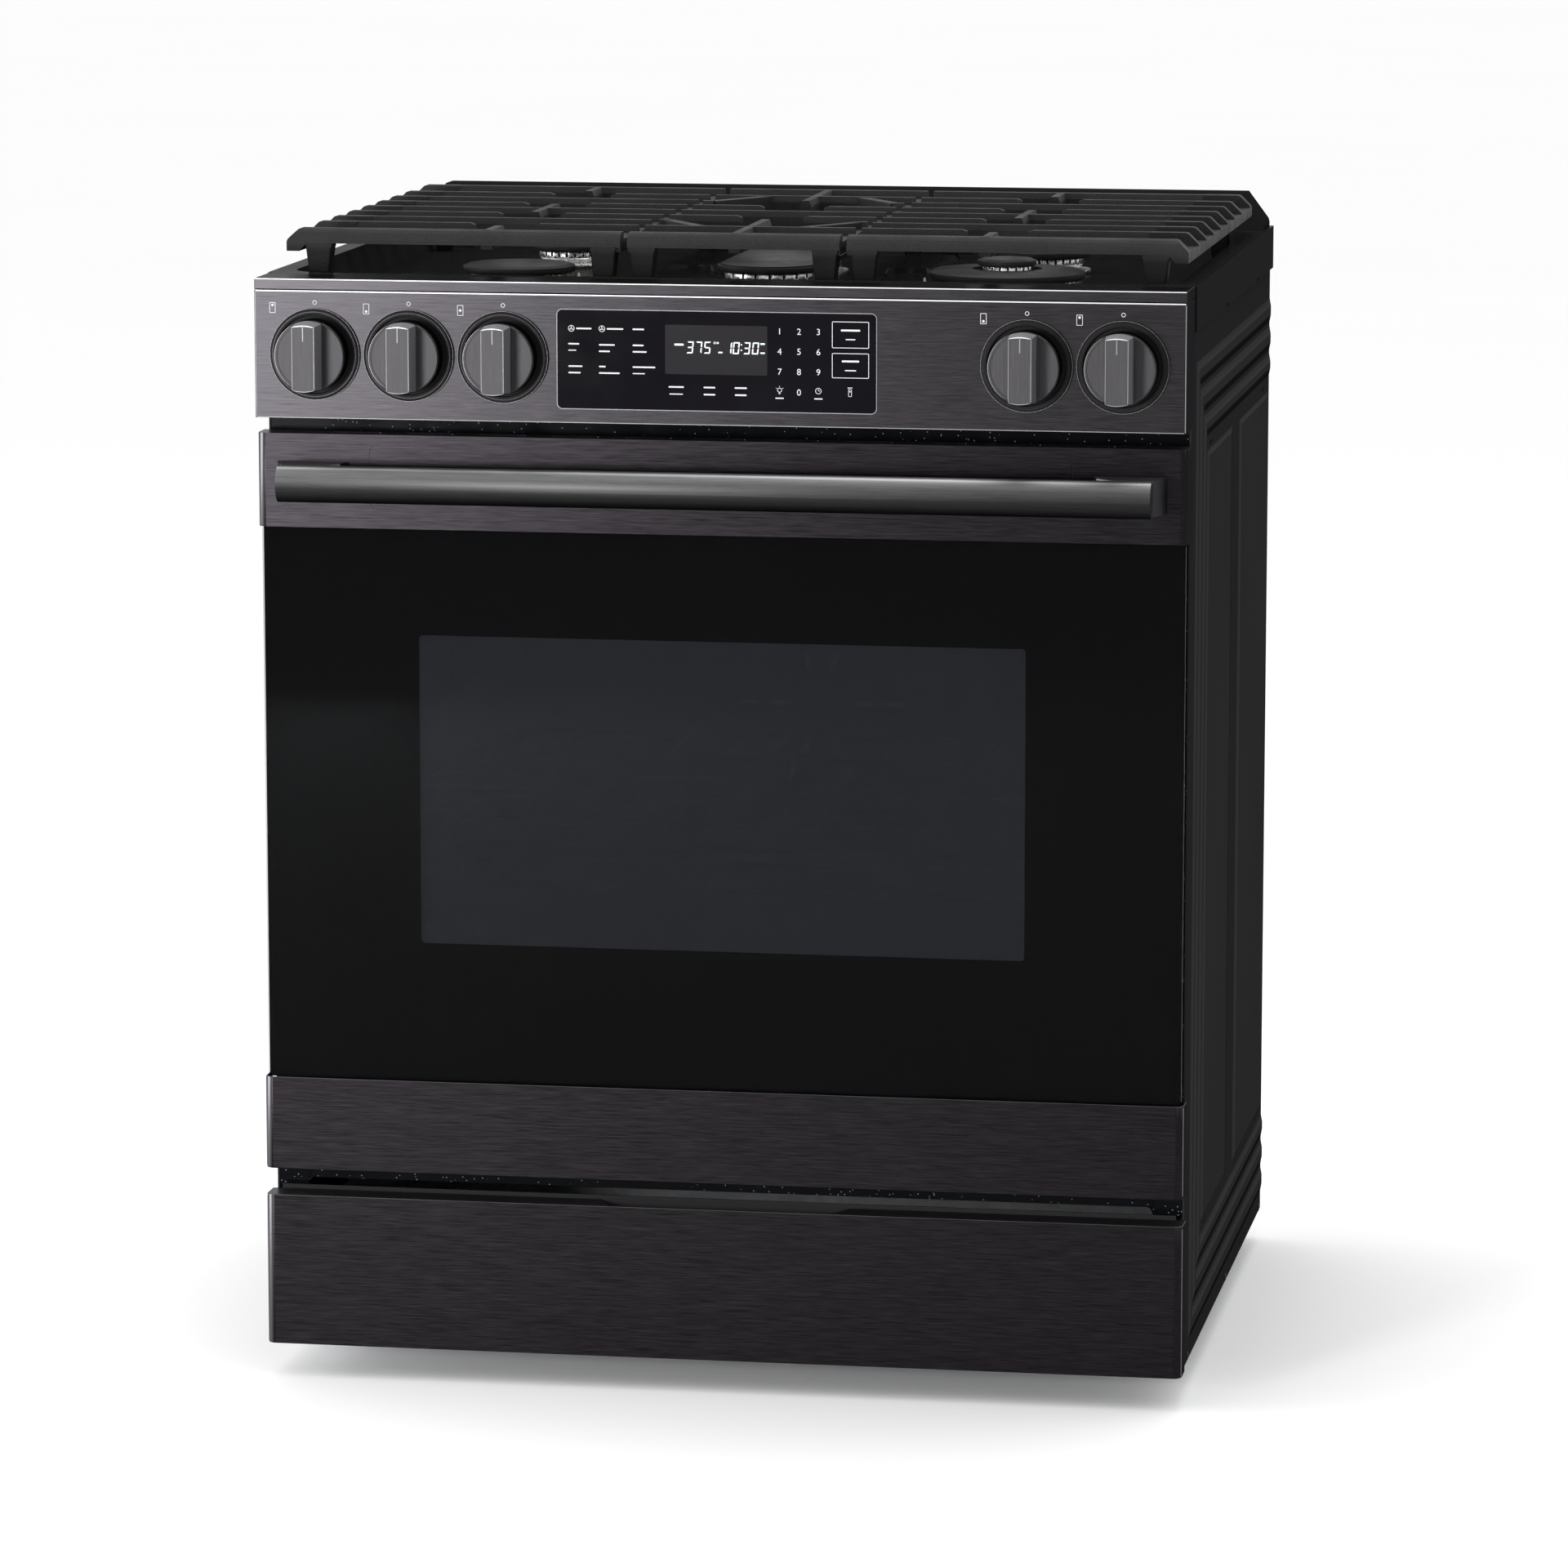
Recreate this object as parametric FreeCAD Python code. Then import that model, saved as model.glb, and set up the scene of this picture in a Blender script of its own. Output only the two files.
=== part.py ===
import FreeCAD, Part
import math
import os

# Freestanding gas range with front controls. Millimetres.
# Working frame: X from the centre plane (right positive), Y back from the face of
# the oven door and drawer, Z up from the drawer's lower edge.  Every solid is moved
# by (0, SHIFT_Y, SHIFT_Z) on export, so that the finished part stands on Z = 0 with
# its box centred on X = 0 and Y = 0.

# ---------------------------------------------------------------- driving sizes
HALF_BODY = 378.0        # outer face of the side panels
HALF_FACE = 380.2        # half width of door and drawer faces
HALF_TOP = 380.5         # half width of the cooktop
SHEET = 1.5              # sheet steel
Y_REAR = 655.0           # rearmost plane
Y_FRONT = -52.0          # foremost plane: the grips of the knobs
SHIFT_Y = -(Y_REAR + Y_FRONT) / 2.0
LEG_H = 28.0             # clearance below the drawer
SHIFT_Z = LEG_H

DRAWER_TOP = 126.0
DOOR_BOTTOM = 148.0
GLASS_BOTTOM = 225.0
GLASS_TOP = 681.0
DOOR_TOP = 757.5
Y_LINER = 31.0           # rear plane of the door
Y_FRAME = 34.5           # front plane of the front frame
PIVOT_Y, PIVOT_Z = 22.0, 154.0
WIN_X, WIN_Z0, WIN_Z1 = 249.0, 339.0, 593.4

PANEL_Y = -9.0           # face of the control panel
PANEL_Z0, PANEL_Z1 = 771.0, 884.0
PANEL_X = 378.8
TRIM_Z = 875.0
KNOB_X = [-328.7, -251.2, -173.7, 251.0, 328.0]
KNOB_Z = 823.3
KNOB_R = 29.0
KNOB_TRAVEL = 4.0

CAV_X, CAV_Z0, CAV_Z1, CAV_Y1 = 304.0, 195.0, 690.0, 546.0
DRAWER_OPEN_X, DRAWER_OPEN_Z0, DRAWER_OPEN_Z1 = 352.0, 8.0, 134.0

PAN_FLOOR = 860.0        # top surface of the cooktop floor
PAN_RIM = 884.0
GRATE_TOP = 918.0
GRATE_BAR = 16.0         # depth of the grate bars
BAR_Y = [78.0, 151.5, 207.5, 262.5, 317.0, 371.5, 426.5, 482.5, 556.0]
BURNER_X = 205.0
BURNER_YF, BURNER_YR = BAR_Y[2], BAR_Y[6]

V = FreeCAD.Vector


# ---------------------------------------------------------------- helpers
def box(x0, x1, y0, y1, z0, z1):
    return Part.makeBox(x1 - x0, y1 - y0, z1 - z0, V(x0, y0, z0))


def cyl(x, y, z, r, h, axis="z"):
    d = {"x": V(1, 0, 0), "y": V(0, 1, 0), "z": V(0, 0, 1)}[axis]
    return Part.makeCylinder(r, h, V(x, y, z), d)


def cone(x, y, z, r1, r2, h, axis="z"):
    d = {"x": V(1, 0, 0), "y": V(0, 1, 0), "z": V(0, 0, 1)}[axis]
    return Part.makeCone(r1, r2, h, V(x, y, z), d)


def place(a, b, plane, c):
    return {"xy": V(a, b, c), "xz": V(a, c, b), "yz": V(c, a, b)}[plane]


def rr_wire(a0, a1, b0, b1, r, plane, c):
    """Rounded rectangle; a and b are the plane's first and second axes."""
    P = lambda a, b: place(a, b, plane, c)
    if r <= 0:
        return Part.makePolygon([P(a0, b0), P(a1, b0), P(a1, b1), P(a0, b1), P(a0, b0)])
    k = r * (1 - math.sqrt(0.5))
    e = [Part.makeLine(P(a0 + r, b0), P(a1 - r, b0)),
         Part.Arc(P(a1 - r, b0), P(a1 - k, b0 + k), P(a1, b0 + r)).toShape(),
         Part.makeLine(P(a1, b0 + r), P(a1, b1 - r)),
         Part.Arc(P(a1, b1 - r), P(a1 - k, b1 - k), P(a1 - r, b1)).toShape(),
         Part.makeLine(P(a1 - r, b1), P(a0 + r, b1)),
         Part.Arc(P(a0 + r, b1), P(a0 + k, b1 - k), P(a0, b1 - r)).toShape(),
         Part.makeLine(P(a0, b1 - r), P(a0, b0 + r)),
         Part.Arc(P(a0, b0 + r), P(a0 + k, b0 + k), P(a0 + r, b0)).toShape()]
    return Part.Wire(e)


def rr_block(a0, a1, b0, b1, r, plane, c0, c1):
    f = Part.Face(rr_wire(a0, a1, b0, b1, r, plane, c0))
    n = {"xy": V(0, 0, c1 - c0), "xz": V(0, c1 - c0, 0), "yz": V(c1 - c0, 0, 0)}[plane]
    return f.extrude(n)


def poly(pts, plane, c0, c1):
    """Closed polygon in a plane, extruded from c0 to c1."""
    w = Part.makePolygon([place(a, b, plane, c0) for a, b in pts + [pts[0]]])
    n = {"xy": V(0, 0, c1 - c0), "xz": V(0, c1 - c0, 0), "yz": V(c1 - c0, 0, 0)}[plane]
    return Part.Face(w).extrude(n)


def fuse(items):
    items = list(items)
    s = items[0]
    if len(items) > 1:
        s = s.multiFuse(items[1:])
    return s.removeSplitter()


def cut(a, items):
    items = list(items)
    if not items:
        return a
    t = items[0] if len(items) == 1 else Part.makeCompound(items)
    return a.cut(t)


def rod(p, q, r):
    p, q = V(*p), V(*q)
    d = q.sub(p)
    return Part.makeCylinder(r, d.Length, p, d)


def group(items):
    out = []
    for s in items:
        out.extend(s.Solids)
    return Part.makeCompound(out)


def tube_path(pts, r, bend):
    """Round bar along straight runs joined by tangent arcs."""
    pts = [V(*p) for p in pts]
    edges, start = [], pts[0]
    for i in range(1, len(pts) - 1):
        a = pts[i - 1].sub(pts[i]).normalize()
        b = pts[i + 1].sub(pts[i]).normalize()
        ang = math.acos(max(-1.0, min(1.0, a.dot(b))))
        t = bend / math.tan(ang / 2)
        p1 = pts[i].add(a * t)
        p2 = pts[i].add(b * t)
        bis = a.add(b).normalize()
        c = pts[i].add(bis * (bend / math.sin(ang / 2)))
        mid = c.sub(bis * bend)
        edges.append(Part.makeLine(start, p1))
        edges.append(Part.Arc(p1, mid, p2).toShape())
        start = p2
    edges.append(Part.makeLine(start, pts[-1]))
    wire = Part.Wire(edges)
    d = pts[1].sub(pts[0])
    prof = Part.Wire([Part.makeCircle(r, pts[0], d)])
    return wire.makePipeShell([prof], True, False)


parts = {}

# ---------------------------------------------------------------- cabinet
# Side panels: a flat sheet with three nested pressed ridges that follow its top,
# front and bottom edges and run out at the rear edge, two raised fields, a short
# slot and a dimple at each corner of the fields, and a slit between the fields.
RIDGE_Y = [68.0, 95.0, 124.0, 148.0]
RIDGE_Z0 = [14.0, 39.0, 64.0, 87.5]
RIDGE_Z1 = [822.0, 797.5, 773.0, 750.5]


def frustum(y0, y1, z0, z1, x0, x1, grow):
    """Prism along X whose outline grows by `grow` from x0 to x1."""
    a = rr_wire(y0, y1, z0, z1, 0, "yz", x0)
    b = rr_wire(y0 - grow, y1 + grow, z0 - grow, z1 + grow, 0, "yz", x1)
    return Part.makeLoft([a, b], True, True)


def field(y0, y1, y2, y3, z0, z1, X):
    """Raised field: steep at its front edge, running out gently towards the rear."""
    a = rr_wire(y0, y3, z0 - 2, z1 + 2, 0, "yz", X - 0.1)
    b = rr_wire(y1, y2, z0 + 2, z1 - 2, 0, "yz", X + 1.5)
    return Part.makeLoft([a, b], True, True)


def side_panel(sign):
    X = HALF_BODY
    sheet = box(X - SHEET, X, 33.5, 652.5, 0.0, 856.0)
    adds = []
    for k in range(3):
        g = 0.7
        o = frustum(RIDGE_Y[k] + g, 760, RIDGE_Z0[k] + g, RIDGE_Z1[k] - g, X - 0.2, X + 1.2, -8.0)
        i = frustum(RIDGE_Y[k + 1] - g + 1, 760, RIDGE_Z0[k + 1] - g + 1, RIDGE_Z1[k + 1] + g - 1, X - 0.4, X + 1.4, 9.5)
        adds.append(o.cut(i).common(box(X - 1, X + 3, 33.5, 652.5, 0, 856)))
    # raised fields
    adds.append(field(152.0, 156.0, 328.0, 352.0, 99.0, 738.0, X))
    adds.append(field(404.0, 409.0, 628.0, 646.0, 97.5, 737.0, X))
    s = fuse([sheet] + adds)
    cuts = []
    for y in (182.0, 605.0):
        for z in (92.0, 743.5):
            cuts.append(rr_block(y - 9, y + 11, z - 1.8, z + 1.8, 1.7, "yz", X - 4, X + 4))
            cuts.append(cyl(X - 4, y - 16, z, 1.9, 8, "x"))
    cuts.append(rr_block(379.5, 382.5, 326.0, 398.0, 1.4, "yz", X - 4, X + 4))
    # the front edge is set back behind the control panel's returns and the tray's skirt
    cuts.append(box(X - 8, X + 8, 30.0, 44.2, 770.6, 860.0))
    cuts.append(box(X - 8, X + 8, 30.0, 46.9, 846.6, 860.0))
    s = cut(s, cuts)
    if sign < 0:
        s = s.mirror(V(0, 0, 0), V(1, 0, 0))
    return s


parts["side_panel_right"] = side_panel(1)
parts["side_panel_left"] = side_panel(-1)

# Rear sheet, with louvre slots above, a recess opening for the gas connection and
# a hole for the supply-lead bush.
back = box(-(HALF_BODY - SHEET), HALF_BODY - SHEET, 651.0, 652.5, 0.0, 846.0)
cuts = []
for i in range(14):
    x = -260 + i * 40
    cuts.append(rr_block(x - 12, x + 12, 800, 806, 2.9, "xz", 640, 660))
    cuts.append(rr_block(x - 12, x + 12, 782, 788, 2.9, "xz", 640, 660))
cuts.append(rr_block(-285, -195, 60, 148, 10, "xz", 640, 660))
cuts.append(cyl(300, 640, 90, 11.0, 20, "y"))
back = cut(back, cuts)
beads = [rr_block(-340, 340, 180, 740, 30, "xz", 652.5, 654.5).cut(
    rr_block(-326, 326, 194, 726, 20, "xz", 650, 656)),
    rr_block(-120, 120, 300, 620, 14, "xz", 652.5, 654.5).cut(
    rr_block(-108, 108, 312, 608, 10, "xz", 650, 656))]
parts["back_panel"] = fuse([back] + beads)

# Base sheet that ties the side panels together below the drawer.
base = box(-(HALF_BODY - SHEET), HALF_BODY - SHEET, 40.0, 651.0, 0.0, 1.5)
base = fuse([base, box(-374, 374, 649.0, 651.0, 0, 22), box(-374, -372, 40, 649, 0, 5), box(372, 374, 40, 649, 0, 5)])
LEGS = [(-330, 170), (330, 170), (-330, 600), (330, 600)]
base = cut(base, [cyl(x, y, -5, 5.3, 12) for x, y in LEGS] +
           [rr_block(-220 + 110 * i - 30, -220 + 110 * i + 30, 330, 410, 12, "xy", -2, 4) for i in range(5)])
parts["base_pan"] = base

legs = []
for x, y in LEGS:
    leg = fuse([cone(x, y, -28, 15, 17, 3), cyl(x, y, -25, 17, 5), cyl(x, y, -20, 9, 18), cyl(x, y, -2.1, 5.0, 8.0)])
    legs.append(leg)
parts["levelling_legs"] = group(legs)

# Enamelled front frame with the oven opening and the drawer opening.
ff = box(-376.5, 376.5, Y_FRAME, Y_FRAME + 2, 2.0, 776.0)
ff = cut(ff, [rr_block(-CAV_X, CAV_X, CAV_Z0, CAV_Z1, 12, "xz", 30, 40),
              rr_block(-DRAWER_OPEN_X, DRAWER_OPEN_X, DRAWER_OPEN_Z0, DRAWER_OPEN_Z1, 6, "xz", 30, 40)])
ff = cut(ff, [box(s * 335 - 9, s * 335 + 9, 30, 40, 149.0, 161.0) for s in (-1, 1)])
parts["front_frame"] = ff

# ---------------------------------------------------------------- oven
# Cavity: welded box open to the front, rack guides pressed into its side walls.
t = 2.0
cav = rr_block(-CAV_X - t, CAV_X + t, CAV_Z0 - t, CAV_Z1 + t, 14, "xz", Y_FRAME + 2, CAV_Y1 + t)
cav = cav.cut(rr_block(-CAV_X, CAV_X, CAV_Z0, CAV_Z1, 12, "xz", 30, CAV_Y1))
guides = []
for s in (-1, 1):
    for z in (257.4, 317.4, 377.4, 437.4, 497.4, 557.4):
        a, b = sorted((s * (CAV_X - 12.6), s * (CAV_X + 0.5)))
        guides.append(rr_block(70, 510, z - 8, z, 3.9, "yz", a, b))
cav = fuse([cav] + guides)
FAN_X, FAN_Z = 0.0, 470.0
cav = cut(cav, [cyl(FAN_X, CAV_Y1 - 5, FAN_Z, 9.0, 20, "y"), cyl(-210, CAV_Y1 - 5, 600, 21.0, 20, "y"),
                rr_block(-20, 20, CAV_Z1 - 26, CAV_Z1 - 16, 3, "xz", CAV_Y1 - 5, CAV_Y1 + 10)])
parts["oven_cavity"] = cav

# Insulation blanket over the top, back and sides of the cavity.
ins = box(-321, 321, 60, 562, 197, 707)
ins = cut(ins, [rr_block(-CAV_X - t, CAV_X + t, CAV_Z0 - 10, CAV_Z1 + t, 14, "xz", 50, CAV_Y1 + t),
                box(-CAV_X - t, CAV_X + t, 50, CAV_Y1 + t, 190, 230),
                cyl(FAN_X, 540, FAN_Z, 44.0, 60, "y"), cyl(-210, 540, 600, 26.0, 60, "y"),
                box(-26, 26, 540, 580, 655, 684), box(-54, 54, 540, 580, FAN_Z - 17, FAN_Z + 17)])
parts["oven_insulation"] = ins

# Burner under the oven floor: a straight tube with a flame plate, on two brackets.
bb = fuse([cyl(0, 90, 170, 13, 380, "y"), cone(0, 470, 170, 13, 17, 40, "y")])
bb = bb.cut(cyl(0, 80, 170, 11.5, 500, "y"))
bb = fuse([bb, box(-44, 44, 95, 450, 184.0, 185.2), box(-3, 3, 110, 140, 182, 184.6), box(-3, 3, 400, 430, 182, 184.6)])
parts["bake_burner"] = bb

# Broil burner below the cavity roof: a tube with a wide screen on each side.
br = fuse([cyl(0, 120, CAV_Z1 - 20, 9, 440, "y"), box(-85, 85, 140, 500, CAV_Z1 - 22, CAV_Z1 - 18),
           box(-88, -82, 140, 500, CAV_Z1 - 22, CAV_Z1 - 0.05), box(82, 88, 140, 500, CAV_Z1 - 22, CAV_Z1 - 0.05)])
br = cut(br, [box(-78 + 12 * i, -74 + 12 * i, 150, 490, CAV_Z1 - 30, CAV_Z1 - 5) for i in (0, 1, 2, 3, 4, 9, 10, 11, 12, 13)
              if not (-12 < -76 + 12 * i < 12)])
br = br.cut(box(-200, 200, CAV_Y1 - 0.5, 600, 600, 700))
parts["broil_burner"] = br

# Convection fan: cover with slots, six-blade wheel on the motor's shaft, motor.
cover = cyl(FAN_X, CAV_Y1 - 34, FAN_Z, 112, 34, "y").cut(cyl(FAN_X, CAV_Y1 - 32, FAN_Z, 110, 40, "y"))
slots = []
for ring_r, n, L in ((38, 10, 16), (66, 16, 20), (94, 22, 16)):
    for i in range(n):
        a = 360.0 / n * i
        b = box(ring_r - L / 2.0, ring_r + L / 2.0, CAV_Y1 - 40, CAV_Y1 - 30, -2.2, 2.2)
        b.rotate(V(0, 0, 0), V(0, 1, 0), a)
        b.translate(V(FAN_X, 0, FAN_Z))
        slots.append(b)
cover = cut(cover, slots)
parts["fan_cover"] = cover

blade = [cyl(FAN_X, CAV_Y1 - 24, FAN_Z, 13, 14, "y")]
for i in range(6):
    b = box(9, 74, CAV_Y1 - 23, CAV_Y1 - 21.8, -13, 13)
    b.rotate(V(0, CAV_Y1 - 22, 0), V(1, 0, 0), 22)
    b.rotate(V(0, 0, 0), V(0, 1, 0), 60 * i)
    b.translate(V(FAN_X, 0, FAN_Z))
    blade.append(b)
blade.append(cyl(FAN_X, CAV_Y1 - 12, FAN_Z, 4.0, 46, "y"))
parts["fan_blade"] = fuse(blade)
motor = fuse([cyl(FAN_X, CAV_Y1 + 18, FAN_Z, 34, 40, "y"), box(-52, 52, CAV_Y1 + 16, CAV_Y1 + 18, FAN_Z - 14, FAN_Z + 14),
              box(-52, -46, CAV_Y1 + t, CAV_Y1 + 16, FAN_Z - 10, FAN_Z + 10), box(46, 52, CAV_Y1 + t, CAV_Y1 + 16, FAN_Z - 10, FAN_Z + 10)])
parts["fan_motor"] = motor.cut(cyl(FAN_X, CAV_Y1 + 10, FAN_Z, 4.05, 30, "y"))

# Oven lamp: glass lens in the rear wall, on its holder.
parts["oven_lamp"] = fuse([cyl(-210, CAV_Y1 - 10, 600, 20.0, 12, "y"), cyl(-210, CAV_Y1 + t, 600, 23.0, 18, "y"),
                           cone(-210, CAV_Y1 - 16, 600, 14, 20, 6, "y")])

# Door gasket: a rope seal fixed to the front frame round the oven opening.
g = rr_block(-322, 322, 177, 708, 24, "xz", 31.6, Y_FRAME).cut(rr_block(-313, 313, 186, 699, 16, "xz", 30, 40))
parts["door_gasket"] = g

# Wire racks: frame rod, a cross rod below, and long rods from front to rear.
def rack(z):
    r = 3.2
    y0, y1, xx = 62.0, 505.0, 293.0
    w = []
    w.append(tube_path([(-xx, y1 - 40, z), (-xx, y0, z), (xx, y0, z), (xx, y1, z), (-xx, y1, z), (-xx, y1 - 40.5, z)], r, 12.0))
    for y in (205.0, 276.0, 390.0):
        w.append(rod((-xx + 2.4, y, z - 3.0), (xx - 2.4, y, z - 3.0), 2.2))
    for i in range(12):
        x = -253 + 46 * i
        w.append(rod((x, y0, z + 0.6), (x, y1, z + 0.6), 2.0))
    return fuse(w)


parts["rack_upper"] = rack(441.0)
parts["rack_lower"] = rack(381.0)

# ---------------------------------------------------------------- oven door
# Inner liner: a tray with side flanges, window opening and pockets at the hinges.
lin = box(-374, 374, 29.0, Y_LINER, 150.0, 755.5)
lin = fuse([lin, box(-374, -372.5, 9.5, 29.0, 226, 680), box(372.5, 374, 9.5, 29.0, 226, 680),
            rr_block(-290, 290, 290, 640, 16, "xz", 25.0, 29.2)])
lin = cut(lin, [rr_block(-256, 256, 330, 602, 8, "xz", 20, 40)])
HINGE_X = 335.0
notch = [box(s * HINGE_X - 9, s * HINGE_X + 9, 11.0, 36.0, 140.0, 167.0) for s in (-1, 1)]
lin = cut(lin, notch)
parts["door_liner"] = lin

parts["door_outer_glass"] = rr_block(-377.8, 377.8, GLASS_BOTTOM + 0.8, GLASS_TOP - 0.8, 1.0, "xz", 5.0, 9.0)
parts["door_inner_glass"] = rr_block(-255.5, 255.5, 330.5, 601.5, 7.5, "xz", 26.0, 30.0)


def face_strip(z0, z1, depth, ret_top, ret_bottom, r=7.0):
    """Formed face: front, two rounded vertical corners, side returns and a lip."""
    X = HALF_FACE
    o = rr_block(-X, X, 0.0, 80.0, r, "xy", z0, z1)
    i = rr_block(-X + SHEET, X - SHEET, SHEET, 78.0, r - SHEET, "xy", z0 + (SHEET if ret_bottom else -5), z1 - (SHEET if ret_top else -5))
    s = o.cut(i)
    return s.common(box(-X - 1, X + 1, -1, depth, z0 - 1, z1 + 1))


top = face_strip(GLASS_TOP, DOOR_TOP, 27.0, True, False)
# heat vents along the top return
top = cut(top, [rr_block(-300 + 60 * i - 20, -300 + 60 * i + 20, 12, 16, 1.9, "xy", 750, 760) for i in range(11)])
# shallow engraved outline behind the handle
top = top.cut(rr_block(-287.0, 287.0, 696.0, 750.0, 8.0, "xz", -1, 0.35).cut(rr_block(-286.2, 286.2, 696.8, 749.2, 7.2, "xz", -2, 1)))
parts["door_top_strip"] = top
low = face_strip(DOOR_BOTTOM, GLASS_BOTTOM, 23.5, False, True)
low = cut(low, notch)
parts["door_lower_strip"] = low

# Handle: bar of D section with a convex front, and an end block at each side.
HZ0, HZ1 = 705.8, 735.3
def handle_section(x0, x1, front, back_y):
    zc = (HZ0 + HZ1) / 2.0
    P = lambda y, z: V(x0, y, z)
    k = 4.0
    e = [Part.makeLine(P(back_y, HZ0 + k), P(back_y, HZ1 - k)),
         Part.Arc(P(back_y, HZ1 - k), P(back_y - k * 0.29, HZ1 - k * 0.29), P(back_y - k, HZ1)).toShape(),
         Part.makeLine(P(back_y - k, HZ1), P(front + 9, HZ1)),
         Part.Arc(P(front + 9, HZ1), P(front, zc), P(front + 9, HZ0)).toShape(),
         Part.makeLine(P(front + 9, HZ0), P(back_y - k, HZ0)),
         Part.Arc(P(back_y - k, HZ0), P(back_y - k * 0.29, HZ0 + k * 0.29), P(back_y, HZ0 + k)).toShape()]
    return Part.Face(Part.Wire(e)).extrude(V(x1 - x0, 0, 0))


bar = handle_section(-354.5, 354.5, -46.0, -27.0)
ends = []
for s in (-1, 1):
    pts = [(s * 304.0, 0.0), (s * 363.0, 0.0), (s * 360.5, -10.0), (s * 354.5, -26.95), (s * 322.0, -26.95), (s * 308.0, -14.0)]
    b = poly(pts, "xy", HZ0 + 0.3, HZ1 - 0.3)
    ends.append(b)
parts["door_handle"] = group([bar] + ends)

# Hinge brackets on the door, each with its pin.
hd = []
for s in (-1, 1):
    x = s * HINGE_X
    a = box(x - 17, x - 9, 14.0, 29.0, 150.0, 172.0)
    b = box(x + 9, x + 17, 14.0, 29.0, 150.0, 172.0)
    c = box(x - 17, x + 17, 20.0, 29.0, 167.0, 172.0)
    p = cyl(x - 16, PIVOT_Y, PIVOT_Z, 3.0, 32, "x")
    hd.append(fuse([a, b, c, p]))
parts["door_hinges"] = group(hd)

# Receivers on the frame: an arm with an eye round each pin, and a channel behind.
hr = []
for s in (-1, 1):
    x = s * HINGE_X
    e = fuse([cyl(x - 6, PIVOT_Y, PIVOT_Z, 6.5, 12, "x"), box(x - 6, x + 6, PIVOT_Y, 40.0, 150.5, 158.0),
              box(x - 8, x + 8, Y_FRAME + 2, 190.0, 146.0, 164.0)])
    e = cut(e, [cyl(x - 10, PIVOT_Y, PIVOT_Z, 3.05, 20, "x"), box(x - 5, x + 5, 60.0, 195.0, 149.0, 170.0)])
    hr.append(e)
parts["hinge_receivers"] = group(hr)

# ---------------------------------------------------------------- drawer
X = HALF_FACE
df = rr_block(-X, X, 0.0, 80.0, 7.0, "xy", 0.0, DRAWER_TOP)
df = df.cut(rr_block(-X + SHEET, X - SHEET, SHEET, 78.0, 5.5, "xy", SHEET, DRAWER_TOP - SHEET))
df = df.common(box(-X - 1, X + 1, -1, 26.0, -1, DRAWER_TOP + 1))
df = df.cut(poly([(-104.0, 27.0), (-92.0, 2.2), (92.0, 2.2), (104.0, 27.0)], "xy", DRAWER_TOP - 3, DRAWER_TOP + 2))
parts["drawer_front"] = df
# Panel that closes the back of the drawer front, with an arched bead at each end.
dp = box(-372.0, 372.0, 26.0, 27.4, 3.0, 129.5)
for s in (-1, 1):
    x0, x1 = sorted((s * 343.0, s * 366.0))
    arch = rr_block(x0, x1, 60.0, 126.5, 4.0, "xz", 25.4, 26.2).cut(rr_block(x0 + 1.6, x1 - 1.6, 50.0, 124.9, 3.0, "xz", 25, 27))
    dp = dp.cut(arch)
parts["drawer_inner_panel"] = dp

dbx = box(-344, 344, 27.4, 560.0, 9.0, 108.0)
dbx = dbx.cut(box(-342.5, 342.5, 28.9, 558.5, 10.5, 120.0))
dbx = fuse([dbx, box(-349.5, -343.9, 40, 560, 66, 69), box(343.9, 349.5, 40, 560, 66, 69),
            box(-349.5, -342.6, 28.9, 560, 106.5, 108), box(342.6, 349.5, 28.9, 560, 106.5, 108)])
parts["drawer_box"] = dbx

dr = []
for s in (-1, 1):
    o = box(*sorted((s * 345.0, s * 376.5)), 60, 640, 58, 78)
    i = box(*sorted((s * 343.0, s * 352.0)), 50, 650, 62, 73)
    a = o.cut(i)
    a = a.cut(box(*sorted((s * 354.0, s * 374.5)), 50, 650, 60, 76))
    dr.append(a)
parts["drawer_rails"] = group(dr)

# ---------------------------------------------------------------- cooktop
# Pressed tray: rim, sloping wall, floor with burner holes, and a side skirt.
RX, RY0, RY1 = 364.0, 50.0, 596.0
blk = fuse([box(-HALF_TOP, HALF_TOP, 45.0, Y_REAR, 847.0, PAN_RIM), box(-376.8, 376.8, 33.0, 46.0, 858.0, PAN_RIM)])


def tub(grow, z0, z1):
    a = rr_wire(-RX + 8 - grow, RX - 8 + grow, RY0 + 8 - grow, RY1 - 8 + grow, 24 + grow, "xy", z0)
    b = rr_wire(-RX - grow, RX + grow, RY0 - grow, RY1 + grow, 30 + grow, "xy", z1)
    return Part.makeLoft([a, b], True, True)


under = fuse([box(-HALF_TOP + 1.6, HALF_TOP - 1.6, 46.6, Y_REAR - 1.6, 840.0, PAN_RIM - 1.6),
              box(-375.2, 375.2, 34.6, 47.0, 850.0, PAN_RIM - 1.6)])
under = under.cut(tub(1.6, PAN_FLOOR - 1.6, PAN_RIM + 0.2))
pan = blk.cut(under).cut(tub(0.0, PAN_FLOOR, PAN_RIM + 0.5))
BURN = {"front_left": (-BURNER_X, BURNER_YF), "rear_left": (-BURNER_X, BURNER_YR),
        "front_right": (BURNER_X, BURNER_YF), "rear_right": (BURNER_X, BURNER_YR)}
pan = cut(pan, [cyl(x, y, 850, 18.0, 20) for x, y in BURN.values()] +
          [cyl(0, 317 + s * 60, 850, 14.0, 20) for s in (-1, 1)])
# shallow notches along the skirt's lower edge
pan = cut(pan, [box(-HALF_TOP - 1, HALF_TOP + 1, y, y + 22, 845, 849.0) for y in (266, 509)])
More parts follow.
